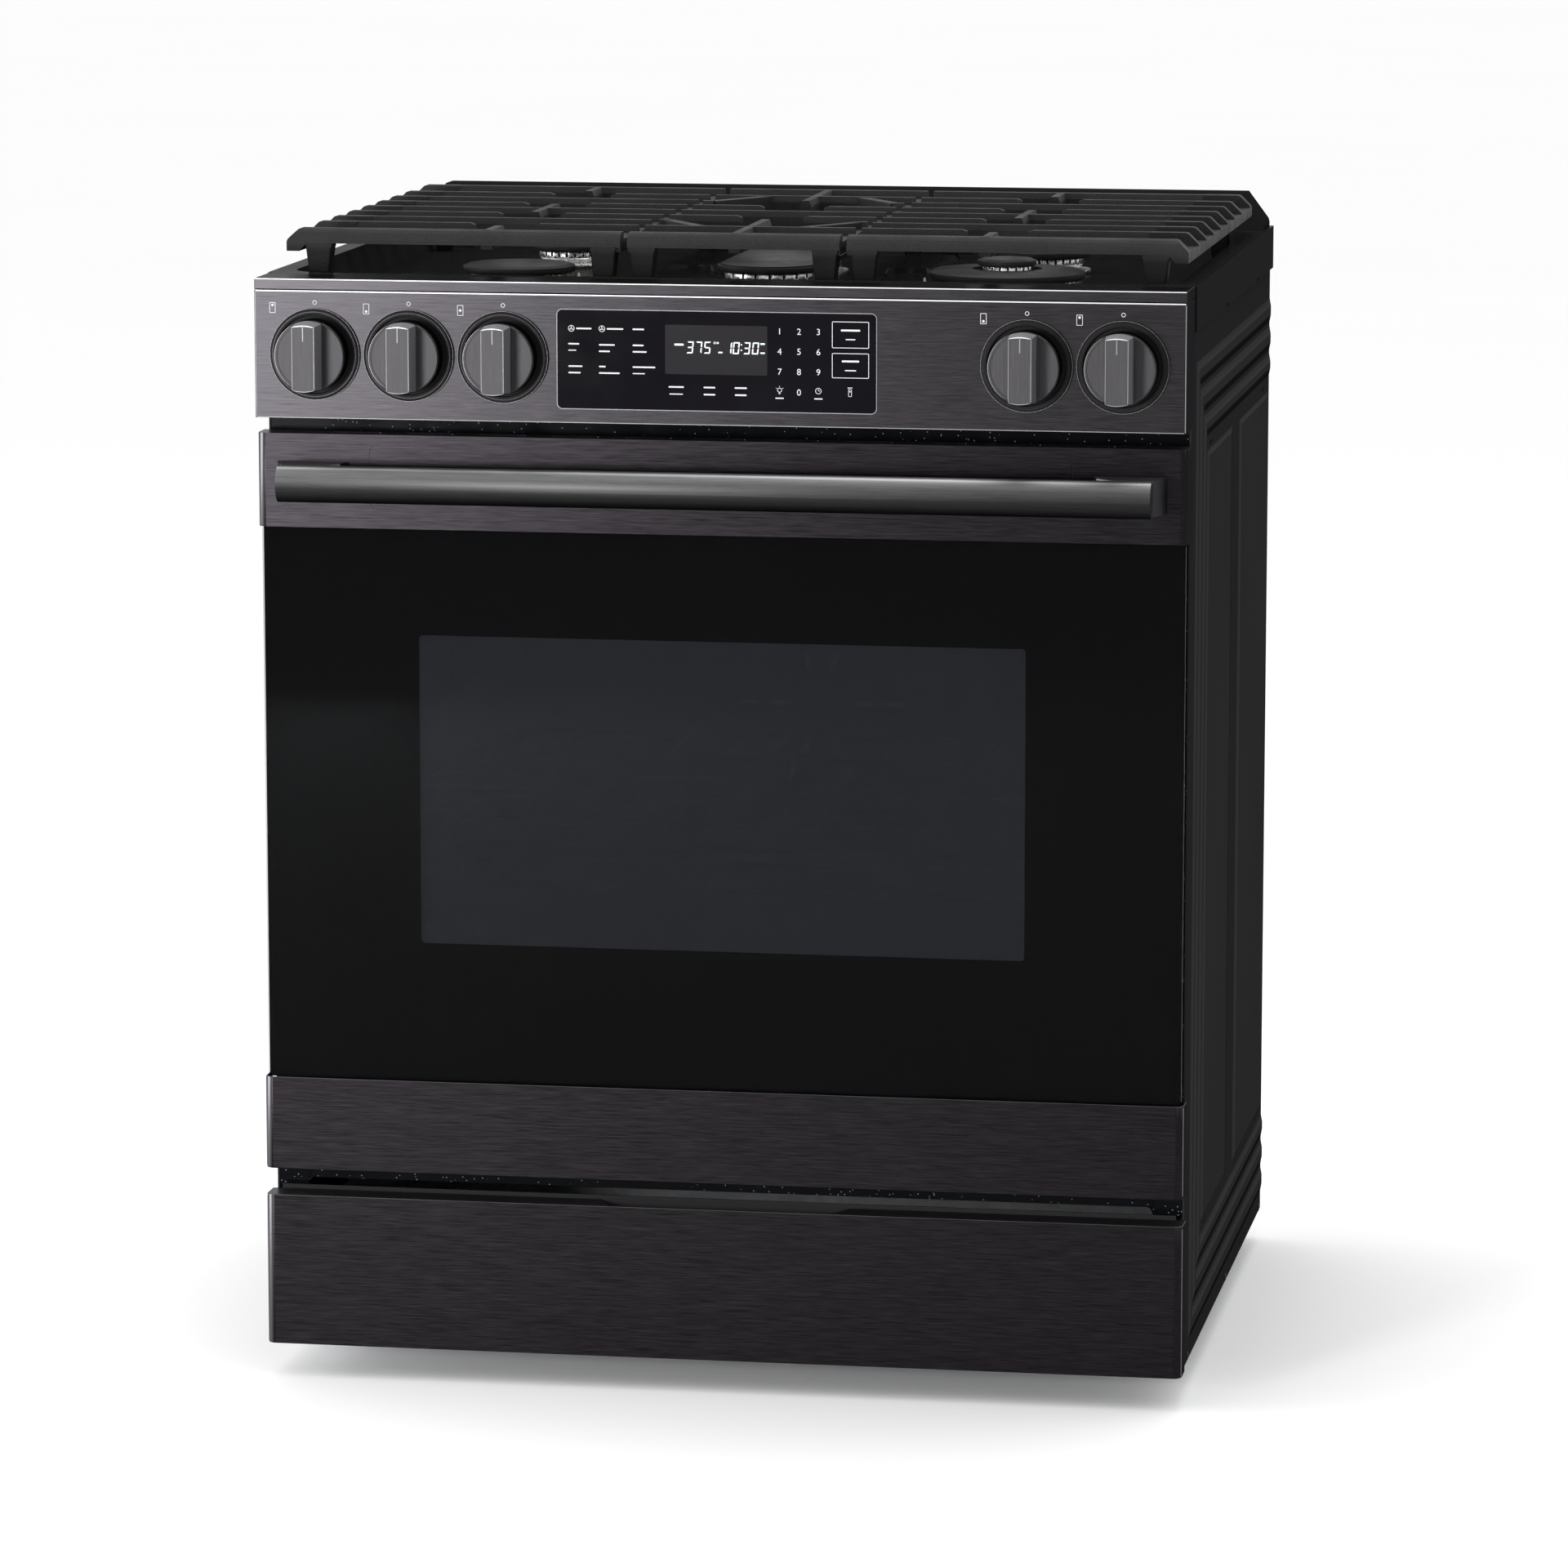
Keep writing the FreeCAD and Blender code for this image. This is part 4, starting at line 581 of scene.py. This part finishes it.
class Build:
    """Collects thin prisms that face the user (normal -Y) into one mesh."""

    def __init__(self):
        self.v, self.f = [], []

    def prism(self, loop, y0, y1):
        n = len(loop)
        k = len(self.v)
        for y in (y0, y1):
            for x, z in loop:
                self.v.append(P(x, y, z))
        self.f.append(list(range(k, k + n)))
        self.f.append(list(range(k + 2 * n - 1, k + n - 1, -1)))
        for i in range(n):
            j = (i + 1) % n
            self.f.append([k + i, k + j, k + n + j, k + n + i])

    def ring(self, outer, inner, y0, y1):
        n = len(outer)
        k = len(self.v)
        for y in (y0, y1):
            for lp in (outer, inner):
                for x, z in lp:
                    self.v.append(P(x, y, z))
        A, B, C, D = k, k + n, k + 2 * n, k + 3 * n
        for i in range(n):
            j = (i + 1) % n
            self.f += [[A + i, A + j, B + j, B + i], [C + i, C + j, D + j, D + i], [A + i, A + j, C + j, C + i], [B + i, B + j, D + j, D + i]]

    def bar(self, x0, x1, z0, z1, y0, y1, r=None):
        r = min(abs(x1 - x0), abs(z1 - z0)) * 0.45 if r is None else r
        self.prism(rr_loop(min(x0, x1), max(x0, x1), min(z0, z1), max(z0, z1), r, 3), y0, y1)

    def circle(self, cx, cz, ro, ri, y0, y1, n=28):
        o = [(cx + ro * math.cos(2 * math.pi * i / n), cz + ro * math.sin(2 * math.pi * i / n)) for i in range(n)]
        if ri <= 0:
            self.prism(o, y0, y1)
        else:
            q = [(cx + ri * math.cos(2 * math.pi * i / n), cz + ri * math.sin(2 * math.pi * i / n)) for i in range(n)]
            self.ring(o, q, y0, y1)

    def stroke(self, x0, z0, x1, z1, w, y0, y1):
        d = math.hypot(x1 - x0, z1 - z0)
        nx, nz = -(z1 - z0) / d * w / 2, (x1 - x0) / d * w / 2
        self.prism([(x0 + nx, z0 + nz), (x1 + nx, z1 + nz), (x1 - nx, z1 - nz), (x0 - nx, z0 - nz)], y0, y1)

    def make(self, name, mat, body, slot, bevel=0.0):
        return new_obj(name, self.v, self.f, mat, body, bevel)


def glyphs(text, cx, cz, h, y, build, align='CENTER'):
    """Digits drawn with the built-in plain font, as thin prisms."""
    cu = bpy.data.curves.new("tmp", 'FONT')
    cu.body = text
    cu.size = h / 0.7
    cu.align_x = align
    cu.align_y = 'CENTER'
    cu.extrude = 0.03
    o = bpy.data.objects.new("tmp", cu)
    scene.collection.objects.link(o)
    bpy.context.view_layer.update()
    me = bpy.data.meshes.new_from_object(o.evaluated_get(bpy.context.evaluated_depsgraph_get()))
    k = len(build.v)
    zs = [v.co.y for v in me.vertices]
    mid = (min(zs) + max(zs)) / 2.0
    for v in me.vertices:
        build.v.append(P(cx + v.co.x, y - v.co.z, cz + v.co.y - mid))
    for p in me.polygons:
        build.f.append([k + i for i in p.vertices])
    bpy.data.objects.remove(o)
    bpy.data.curves.remove(cu)
    bpy.data.meshes.remove(me)


# ------------------------------------------------------------------ touch panel graphics
YG = -10.2                 # front of the touch glass
Y0, Y1 = YG - 0.16, YG - 0.02
g = Build()
for r, row in enumerate((("1", "2", "3"), ("4", "5", "6"), ("7", "8", "9"))):
    for c, d in enumerate(row):
        glyphs(d, (52.0, 67.7, 83.4)[c], (847.7, 831.6, 815.4)[r], 5.0, (Y0 + Y1) / 2, g)
glyphs("0", 67.7, 799.0, 5.0, (Y0 + Y1) / 2, g)
# outlined keys
for z0, z1 in ((835.0, 856.3), (811.0, 831.0)):
    g.ring(rr_loop(94.4, 124.3, z0, z1, 0.8), rr_loop(94.9, 123.8, z0 + 0.5, z1 - 0.5, 0.4), Y0, Y1)
g.bar(101.5, 117.2, 848.5, 850.0, Y0, Y1)
g.bar(105.4, 113.3, 841.5, 842.4, Y0, Y1)
g.bar(102.3, 116.4, 823.8, 825.3, Y0, Y1)
g.bar(104.8, 113.9, 816.7, 817.6, Y0, Y1)
# function keys on the left: one or two short bars each
for x, z, rows in ((-120, 847.5, ((6.5, 12.5),)), (-95, 847.5, ((6.5, 13.5),)), (-67.5, 847.5, ((0, 9.5),)),
                   (-120, 832.5, ((0, 9.0), (0, 6.5))), (-95, 832.0, ((0, 13.0), (0, 9.0))), (-67.5, 832.0, ((0, 9.0), (0, 11.5))),
                   (-120, 814.5, ((0, 11.5), (0, 10.0))), (-95, 814.5, ((0, 5.5), (0, 17.0))), (-67.5, 814.5, ((0, 18.5), (0, 10.0)))):
    for i, (a, b) in enumerate(rows):
        zz = z + (2.6 if len(rows) == 2 and i == 0 else (-2.6 if len(rows) == 2 else 0))
        hh = 0.62 if not (i == 1 and (x, z) in ((-120, 832.5), (-67.5, 814.5))) else 0.42
        g.bar(x + a, x + (b if a == 0 else a + b), zz - hh, zz + hh, Y0, Y1)
for x in (-117.5, -92.5):     # fan symbols
    g.circle(x, 847.5, 2.6, 2.15, Y0, Y1, 24)
    for a in (90, 210, 330):
        ca, sa = math.cos(math.radians(a)), math.sin(math.radians(a))
        g.stroke(x + 0.3 * ca, 847.5 + 0.3 * sa, x + 1.7 * ca, 847.5 + 1.7 * sa, 0.75, Y0, Y1)
# keys below the display
for x, rows in ((-32.0, ((12.5, 0.62), (11.0, 0.42))), (-5.0, ((9.5, 0.62), (9.5, 0.62))), (20.5, ((10.0, 0.62), (9.5, 0.62)))):
    for (w, hh), dz in zip(rows, (2.7, -3.0)):
        g.bar(x - w / 2, x + w / 2, 799.0 + dz - hh, 799.0 + dz + hh, Y0, Y1)
# lamp symbol
g.circle(52.0, 800.6, 1.9, 1.45, Y0, Y1, 22)
g.bar(51.2, 52.8, 797.5, 798.3, Y0, Y1)
for a in (30, 90, 150):
    ca, sa = math.cos(math.radians(a)), math.sin(math.radians(a))
    g.stroke(52 + 2.5 * ca, 800.6 + 2.5 * sa, 52 + 3.4 * ca, 800.6 + 3.4 * sa, 0.4, Y0, Y1)
g.bar(48.6, 55.4, 793.6, 794.6, Y0, Y1)
# clock symbol
g.circle(83.4, 800.4, 2.5, 2.05, Y0, Y1, 24)
g.stroke(83.4, 800.4, 83.4, 802.0, 0.4, Y0, Y1)
g.stroke(83.4, 800.4, 84.7, 800.4, 0.4, Y0, Y1)
g.bar(80.0, 86.8, 793.6, 794.6, Y0, Y1)
# remote symbol
g.ring(rr_loop(107.6, 110.4, 796.2, 802.2, 0.7), rr_loop(108.0, 110.0, 796.6, 801.8, 0.4), Y0, Y1)
g.circle(109.0, 800.3, 0.6, 0.0, Y0, Y1, 12)
g.bar(107.0, 111.0, 803.0, 803.6, Y0, Y1)
g.make("touch_panel_marks", ink, "cabinet", "touch_panel")

# display window and its lit figures
d = Build()
d.prism(rr_loop(-41.0, 42.0, 812.0, 851.6, 1.2), YG - 0.05, YG + 0.2)
d.make("display_window", disp, "cabinet", "touch_panel")

SEG = {"0": "abcdef", "1": "bc", "2": "abged", "3": "abgcd", "4": "fgbc", "5": "afgcd", "6": "afgedc", "7": "abc", "8": "abcdefg", "9": "abcdfg"}


def seven(build, ch, x, z, w, h, t, y0, y1):
    sl = 0.10 * h
    def pt(px, pz):
        return (x + px + sl * (pz / h - 0.5), z + pz)
    def poly(ps):
        build.prism([pt(*p) for p in ps], y0, y1)
    e = t * 0.16
    for s in SEG[ch]:
        if s == "a": poly([(e, h), (w - e, h), (w - t, h - t), (t, h - t)])
        if s == "d": poly([(e, 0), (w - e, 0), (w - t, t), (t, t)])
        if s == "g": poly([(t * .6, h / 2), (t, h / 2 + t / 2), (w - t, h / 2 + t / 2), (w - t * .6, h / 2), (w - t, h / 2 - t / 2), (t, h / 2 - t / 2)])
        if s == "f": poly([(0, h - e), (t, h - t - e), (t, h / 2 + t * .6), (0, h / 2 + e)])
        if s == "b": poly([(w, h - e), (w - t, h - t - e), (w - t, h / 2 + t * .6), (w, h / 2 + e)])
        if s == "e": poly([(0, e), (t, t + e), (t, h / 2 - t * .6), (0, h / 2 - e)])
        if s == "c": poly([(w, e), (w - t, t + e), (w - t, h / 2 - t * .6), (w, h / 2 - e)])


q = Build()
YA, YB = YG - 0.2, YG - 0.06
for i, ch in enumerate("375"):
    seven(q, ch, -23.2 + i * 7.0, 828.9, 5.2, 9.6, 1.05, YA, YB)
for ch, x in (("1", 8.0), ("0", 14.2), ("3", 22.9), ("0", 29.9)):
    seven(q, ch, x, 828.9, 5.2, 9.6, 1.05, YA, YB)
for z in (831.5, 835.9):
    q.prism(rr_loop(20.5, 21.6, z, z + 1.1, 0.3), YA, YB)
# degree ring and small indicator bars
q.circle(-0.6, 837.6, 0.95, 0.55, YA, YB, 16)
q.bar(1.0, 2.6, 836.9, 838.3, YA, YB, 0.2)
q.bar(-33.5, -25.8, 835.0, 836.6, YA, YB)
q.bar(2.2, 5.8, 829.4, 830.6, YA, YB)
q.bar(36.3, 40.2, 836.6, 838.0, YA, YB)
q.bar(36.3, 40.2, 829.4, 830.6, YA, YB)
q.make("display_figures", lit, "cabinet", "touch_panel")

# thin bright rim round the touch glass
r = Build()
r.ring(rr_loop(-129.7, 130.7, 782.3, 863.1, 4.7, 8), rr_loop(-129.05, 130.05, 782.95, 862.45, 4.0, 8), -9.9, -9.0)
r.make("touch_glass_rim", grey_mark_and_highlight, "cabinet", "black_steel", 0.0)

# marks on the panel: an off ring above each knob and a burner-position sign
KX = {"rear_left": -328.7, "front_left": -251.2, "centre": -173.7, "front_right": 251.0, "rear_right": 328.0}
pm = Build()
a, b = -9.10, -9.0
for k, x in KX.items():
    pm.circle(x, 864.9, 1.75, 1.25, a, b, 20)
    sx = x - 35.0
    pm.ring(rr_loop(sx - 2.5, sx + 2.5, 856.0, 864.6, 0.5), rr_loop(sx - 2.05, sx + 2.05, 856.45, 864.15, 0.3), a, b)
    dz = {"front_left": 858.2, "rear_left": 862.4, "centre": 860.3, "rear_right": 862.4, "front_right": 858.2}[k]
    pm.circle(sx, dz, 1.05, 0.0, a, b, 16)
pm.make("panel_marks", ink, "cabinet", "black_steel")

# knobs: pointer line on the grip, and painted highlights along the edges of the grip and the face
def arc(build, cx, cz, ro, ri, a0, a1, y0, y1, n=20):
    k = len(build.v)
    for i in range(n + 1):
        a = math.radians(a0 + (a1 - a0) * i / n)
        t = math.sin(math.pi * i / n) ** 0.5
        q = ro - (ro - ri) * max(t, 0.12)
        for y in (y0, y1):
            build.v.append(P(cx + ro * math.cos(a), y, cz + ro * math.sin(a)))
            build.v.append(P(cx + q * math.cos(a), y, cz + q * math.sin(a)))
    for i in range(n):
        A = k + 4 * i
        B = A + 4
        build.f += [[A, B, B + 1, A + 1], [A + 2, A + 3, B + 3, B + 2], [A, A + 2, B + 2, B], [A + 1, B + 1, B + 3, A + 3]]
    for A in (k, k + 4 * n):
        build.f.append([A, A + 1, A + 3, A + 2])


for k, x in KX.items():
    kb = Build()
    kb.prism(rr_loop(x - 0.42, x + 0.42, 823.3 + 14.0, 823.3 + 25.6, 0.3), -52.10, -51.9)
    kb.make("knob_pointer_" + k, grey_mark_and_highlight, "knob_" + k, "knob_metal")
    ke = Build()
    arc(ke, x, 823.3, 26.9, 26.0, 70.0, 110.0, -52.12, -51.9)
    ke.make("knob_crown_highlight_" + k, painted_bright_highlight, "knob_" + k, "knob_metal")
    kf = Build()
    arc(kf, x, 823.3, 26.9, 26.3, 250.0, 290.0, -52.10, -51.9)
    kf.bar(x - 9.25, x - 8.8, 823.3 - 24.6, 823.3 + 24.6, -52.08, -51.9, 0.1)
    kf.bar(x + 8.7, x + 9.25, 823.3 - 24.6, 823.3 + 24.6, -52.08, -51.9, 0.1)
    arc(kf, x, 823.3, 28.7, 28.1, 116.0, 244.0, -31.12, -30.9)
    kf.make("knob_edge_highlights_" + k, grey_mark_and_highlight, "knob_" + k, "knob_metal")

# bezel rims: a light ring at the front edge of each bezel and a finer one inside it
for k, x in KX.items():
    rb = Build()
    rb.circle(x, 823.3, 37.0, 36.45, -11.8, -9.0, 72)
    rb.make("bezel_rim_" + k, grey_mark_and_highlight, "cabinet", "black_steel")
    rb = Build()
    rb.circle(x, 823.3, 34.5, 34.1, -13.12, -12.9, 72)
    rb.make("bezel_line_" + k, trim_metal, "cabinet", "black_steel")

# painted highlights along the edges of the panel and of the trim above it
el = Build()
el.bar(-378.2, 378.2, 883.1, 883.9, -9.30, -9.0, 0.2)
el.bar(-377.6, 377.6, 873.5, 874.5, -9.22, -9.0, 0.2)
el.make("panel_top_edge_highlights", painted_bright_highlight, "cabinet", "black_steel")
el = Build()
el.bar(377.6, 378.2, 771.8, 873.0, -9.16, -9.0, 0.2)
el.bar(-378.2, -377.7, 771.8, 873.0, -9.16, -9.0, 0.2)
el.bar(-377.0, 377.0, 771.2, 771.8, -9.16, -9.0, 0.2)
el.make("panel_side_edge_highlights", grey_mark_and_highlight, "cabinet", "black_steel")

# painted highlight: a light line down the rounded corner of each folded front
def corner_highlight_lines(name, z0, z1, body):
    e = Build()
    for s in (-1, 1):
        a, b = sorted((s * 379.35, s * 379.95))
        e.bar(a, b, z0, z1, 4.2, 4.9, 0.2)
    e.make(name, grey_mark_and_highlight, body, "black_steel")


corner_highlight_lines("strip_corner_highlights_low", 150.5, 223.5, "door")
corner_highlight_lines("drawer_corner_highlights", 1.5, 123.5, "drawer")

# ------------------------------------------------------------------ oven door glass
fb = Build()
fb.ring(rr_loop(-377.5, 377.5, 223.8, 682.4, 1.0), rr_loop(-249.0, 249.0, 339.0, 593.4, 3.0), 9.1, 9.6)
fb.make("glass_frit_border", frit, "door", "oven_glass")
# painted haze: the lit slate sheet behind the window stands in for the dim interior seen through the glass
wf = Build()
wf.prism(rr_loop(-251.0, 251.0, 337.0, 595.4, 3.0), 9.7, 9.9)
wf.make("window_haze_sheet", haze_sheet, "door", "oven_glass")

# ------------------------------------------------------------------ small hardware
def screw(build_v, build_f, c, n, r, h):
    """Pan-head screw with a cross recess; c is the seat centre, n the outward normal."""
    n = n.normalized()
    u = n.orthogonal().normalized()
    w = n.cross(u)
    prof = [(r, 0.0), (r * 0.98, h * 0.45), (r * 0.80, h * 0.85), (r * 0.5, h), (r * 0.34, h), (r * 0.26, h * 0.55)]
    N = 16
    k = len(build_v)
    for rr, hh in prof:
        for i in range(N):
            t = 2 * math.pi * i / N
            q4 = abs(math.cos(2 * t))
            s = rr * (0.55 + 0.45 * q4) if rr <= r * 0.34 else rr
            build_v.append(c + (u * math.cos(t) + w * math.sin(t)) * s + n * hh)
    for a in range(len(prof) - 1):
        for i in range(N):
            j = (i + 1) % N
            build_f.append([k + a * N + i, k + a * N + j, k + (a + 1) * N + j, k + (a + 1) * N + i])
    build_f.append([k + (len(prof) - 1) * N + i for i in range(N)])
    build_f.append([k + i for i in range(N - 1, -1, -1)])


sv, sf = [], []
for sx in (-1, 1):
    for z in (20, 300, 560, 830):
        screw(sv, sf, P(sx * 368, 652.5, z), Vector((0, 1, 0)), 0.0042, 0.0022)
for x in (-240, -80, 80, 240):
    for z in (14, 764):
        screw(sv, sf, P(x, 652.5, z), Vector((0, 1, 0)), 0.0042, 0.0022)
new_obj("rear_screws", sv, sf, steel, "cabinet", smooth=False)
sv, sf = [], []
for sx in (-1, 1):
    for y in (60, 350, 630):
        screw(sv, sf, P(sx * 378.0, y, 5.0), Vector((sx, 0, 0)), 0.0036, 0.0015)
new_obj("side_screws", sv, sf, moulded, "cabinet")

# ------------------------------------------------------------------ floor, light, camera
fm = Mat("pale_floor")
n1 = fm.noise(fm.coords((0.8, 0.8, 0.8)), 1.0, 2.0)
fm.color(fm.mix(n1, (0.86, 0.86, 0.86), (0.88, 0.88, 0.88)))
fm.set(Roughness=0.7, Specular_IOR_Level=0.1)
me = bpy.data.meshes.new("floor")
R = 60.0
N = 64
me.from_pydata([(R * math.cos(2 * math.pi * i / N), R * math.sin(2 * math.pi * i / N), 0.0) for i in range(N)], [], [list(range(N))])
floor = bpy.data.objects.new("floor", me)
scene.collection.objects.link(floor)
me.materials.append(fm.m)

world = bpy.data.worlds.new("studio")
scene.world = world
world.use_nodes = True
bg = world.node_tree.nodes["Background"]
bg.inputs[0].default_value = (1.0, 1.0, 1.0, 1)
bg.inputs[1].default_value = 1.12


def area(name, loc, target, size, power, color=(1, 1, 1), size_y=None):
    L = bpy.data.lights.new(name, 'AREA')
    L.energy = power
    L.color = color
    L.shape = 'RECTANGLE'
    L.size = size
    L.size_y = size_y or size
    o = bpy.data.objects.new(name, L)
    scene.collection.objects.link(o)
    o.location = loc
    o.rotation_euler = (Vector(target) - Vector(loc)).to_track_quat('-Z', 'Y').to_euler()
    return o


area("key", (-1.52, -4.0, 0.82), (-0.1, -0.3, 0.80), 0.74, 112)
area("soft_left", (-3.2, -0.9, 1.0), (-0.3, -0.1, 0.7), 1.8, 70)
area("soft_top", (0.3, 0.3, 3.2), (0, 0.05, 0.9), 1.6, 30)

cam = bpy.data.cameras.new("camera")
cam.lens = 163.17
cam.sensor_width = 36.0
cam.clip_end = 200.0
co = bpy.data.objects.new("camera", cam)
scene.collection.objects.link(co)
yaw, pit = math.radians(9.604), math.radians(9.082)
C = P(999.6, -5589.3, 1386.4)
d = Vector((-math.sin(yaw) * math.cos(pit), math.cos(yaw) * math.cos(pit), -math.sin(pit)))
co.location = C
co.rotation_euler = d.to_track_quat('-Z', 'Y').to_euler()
scene.camera = co

bpy.context.view_layer.update()
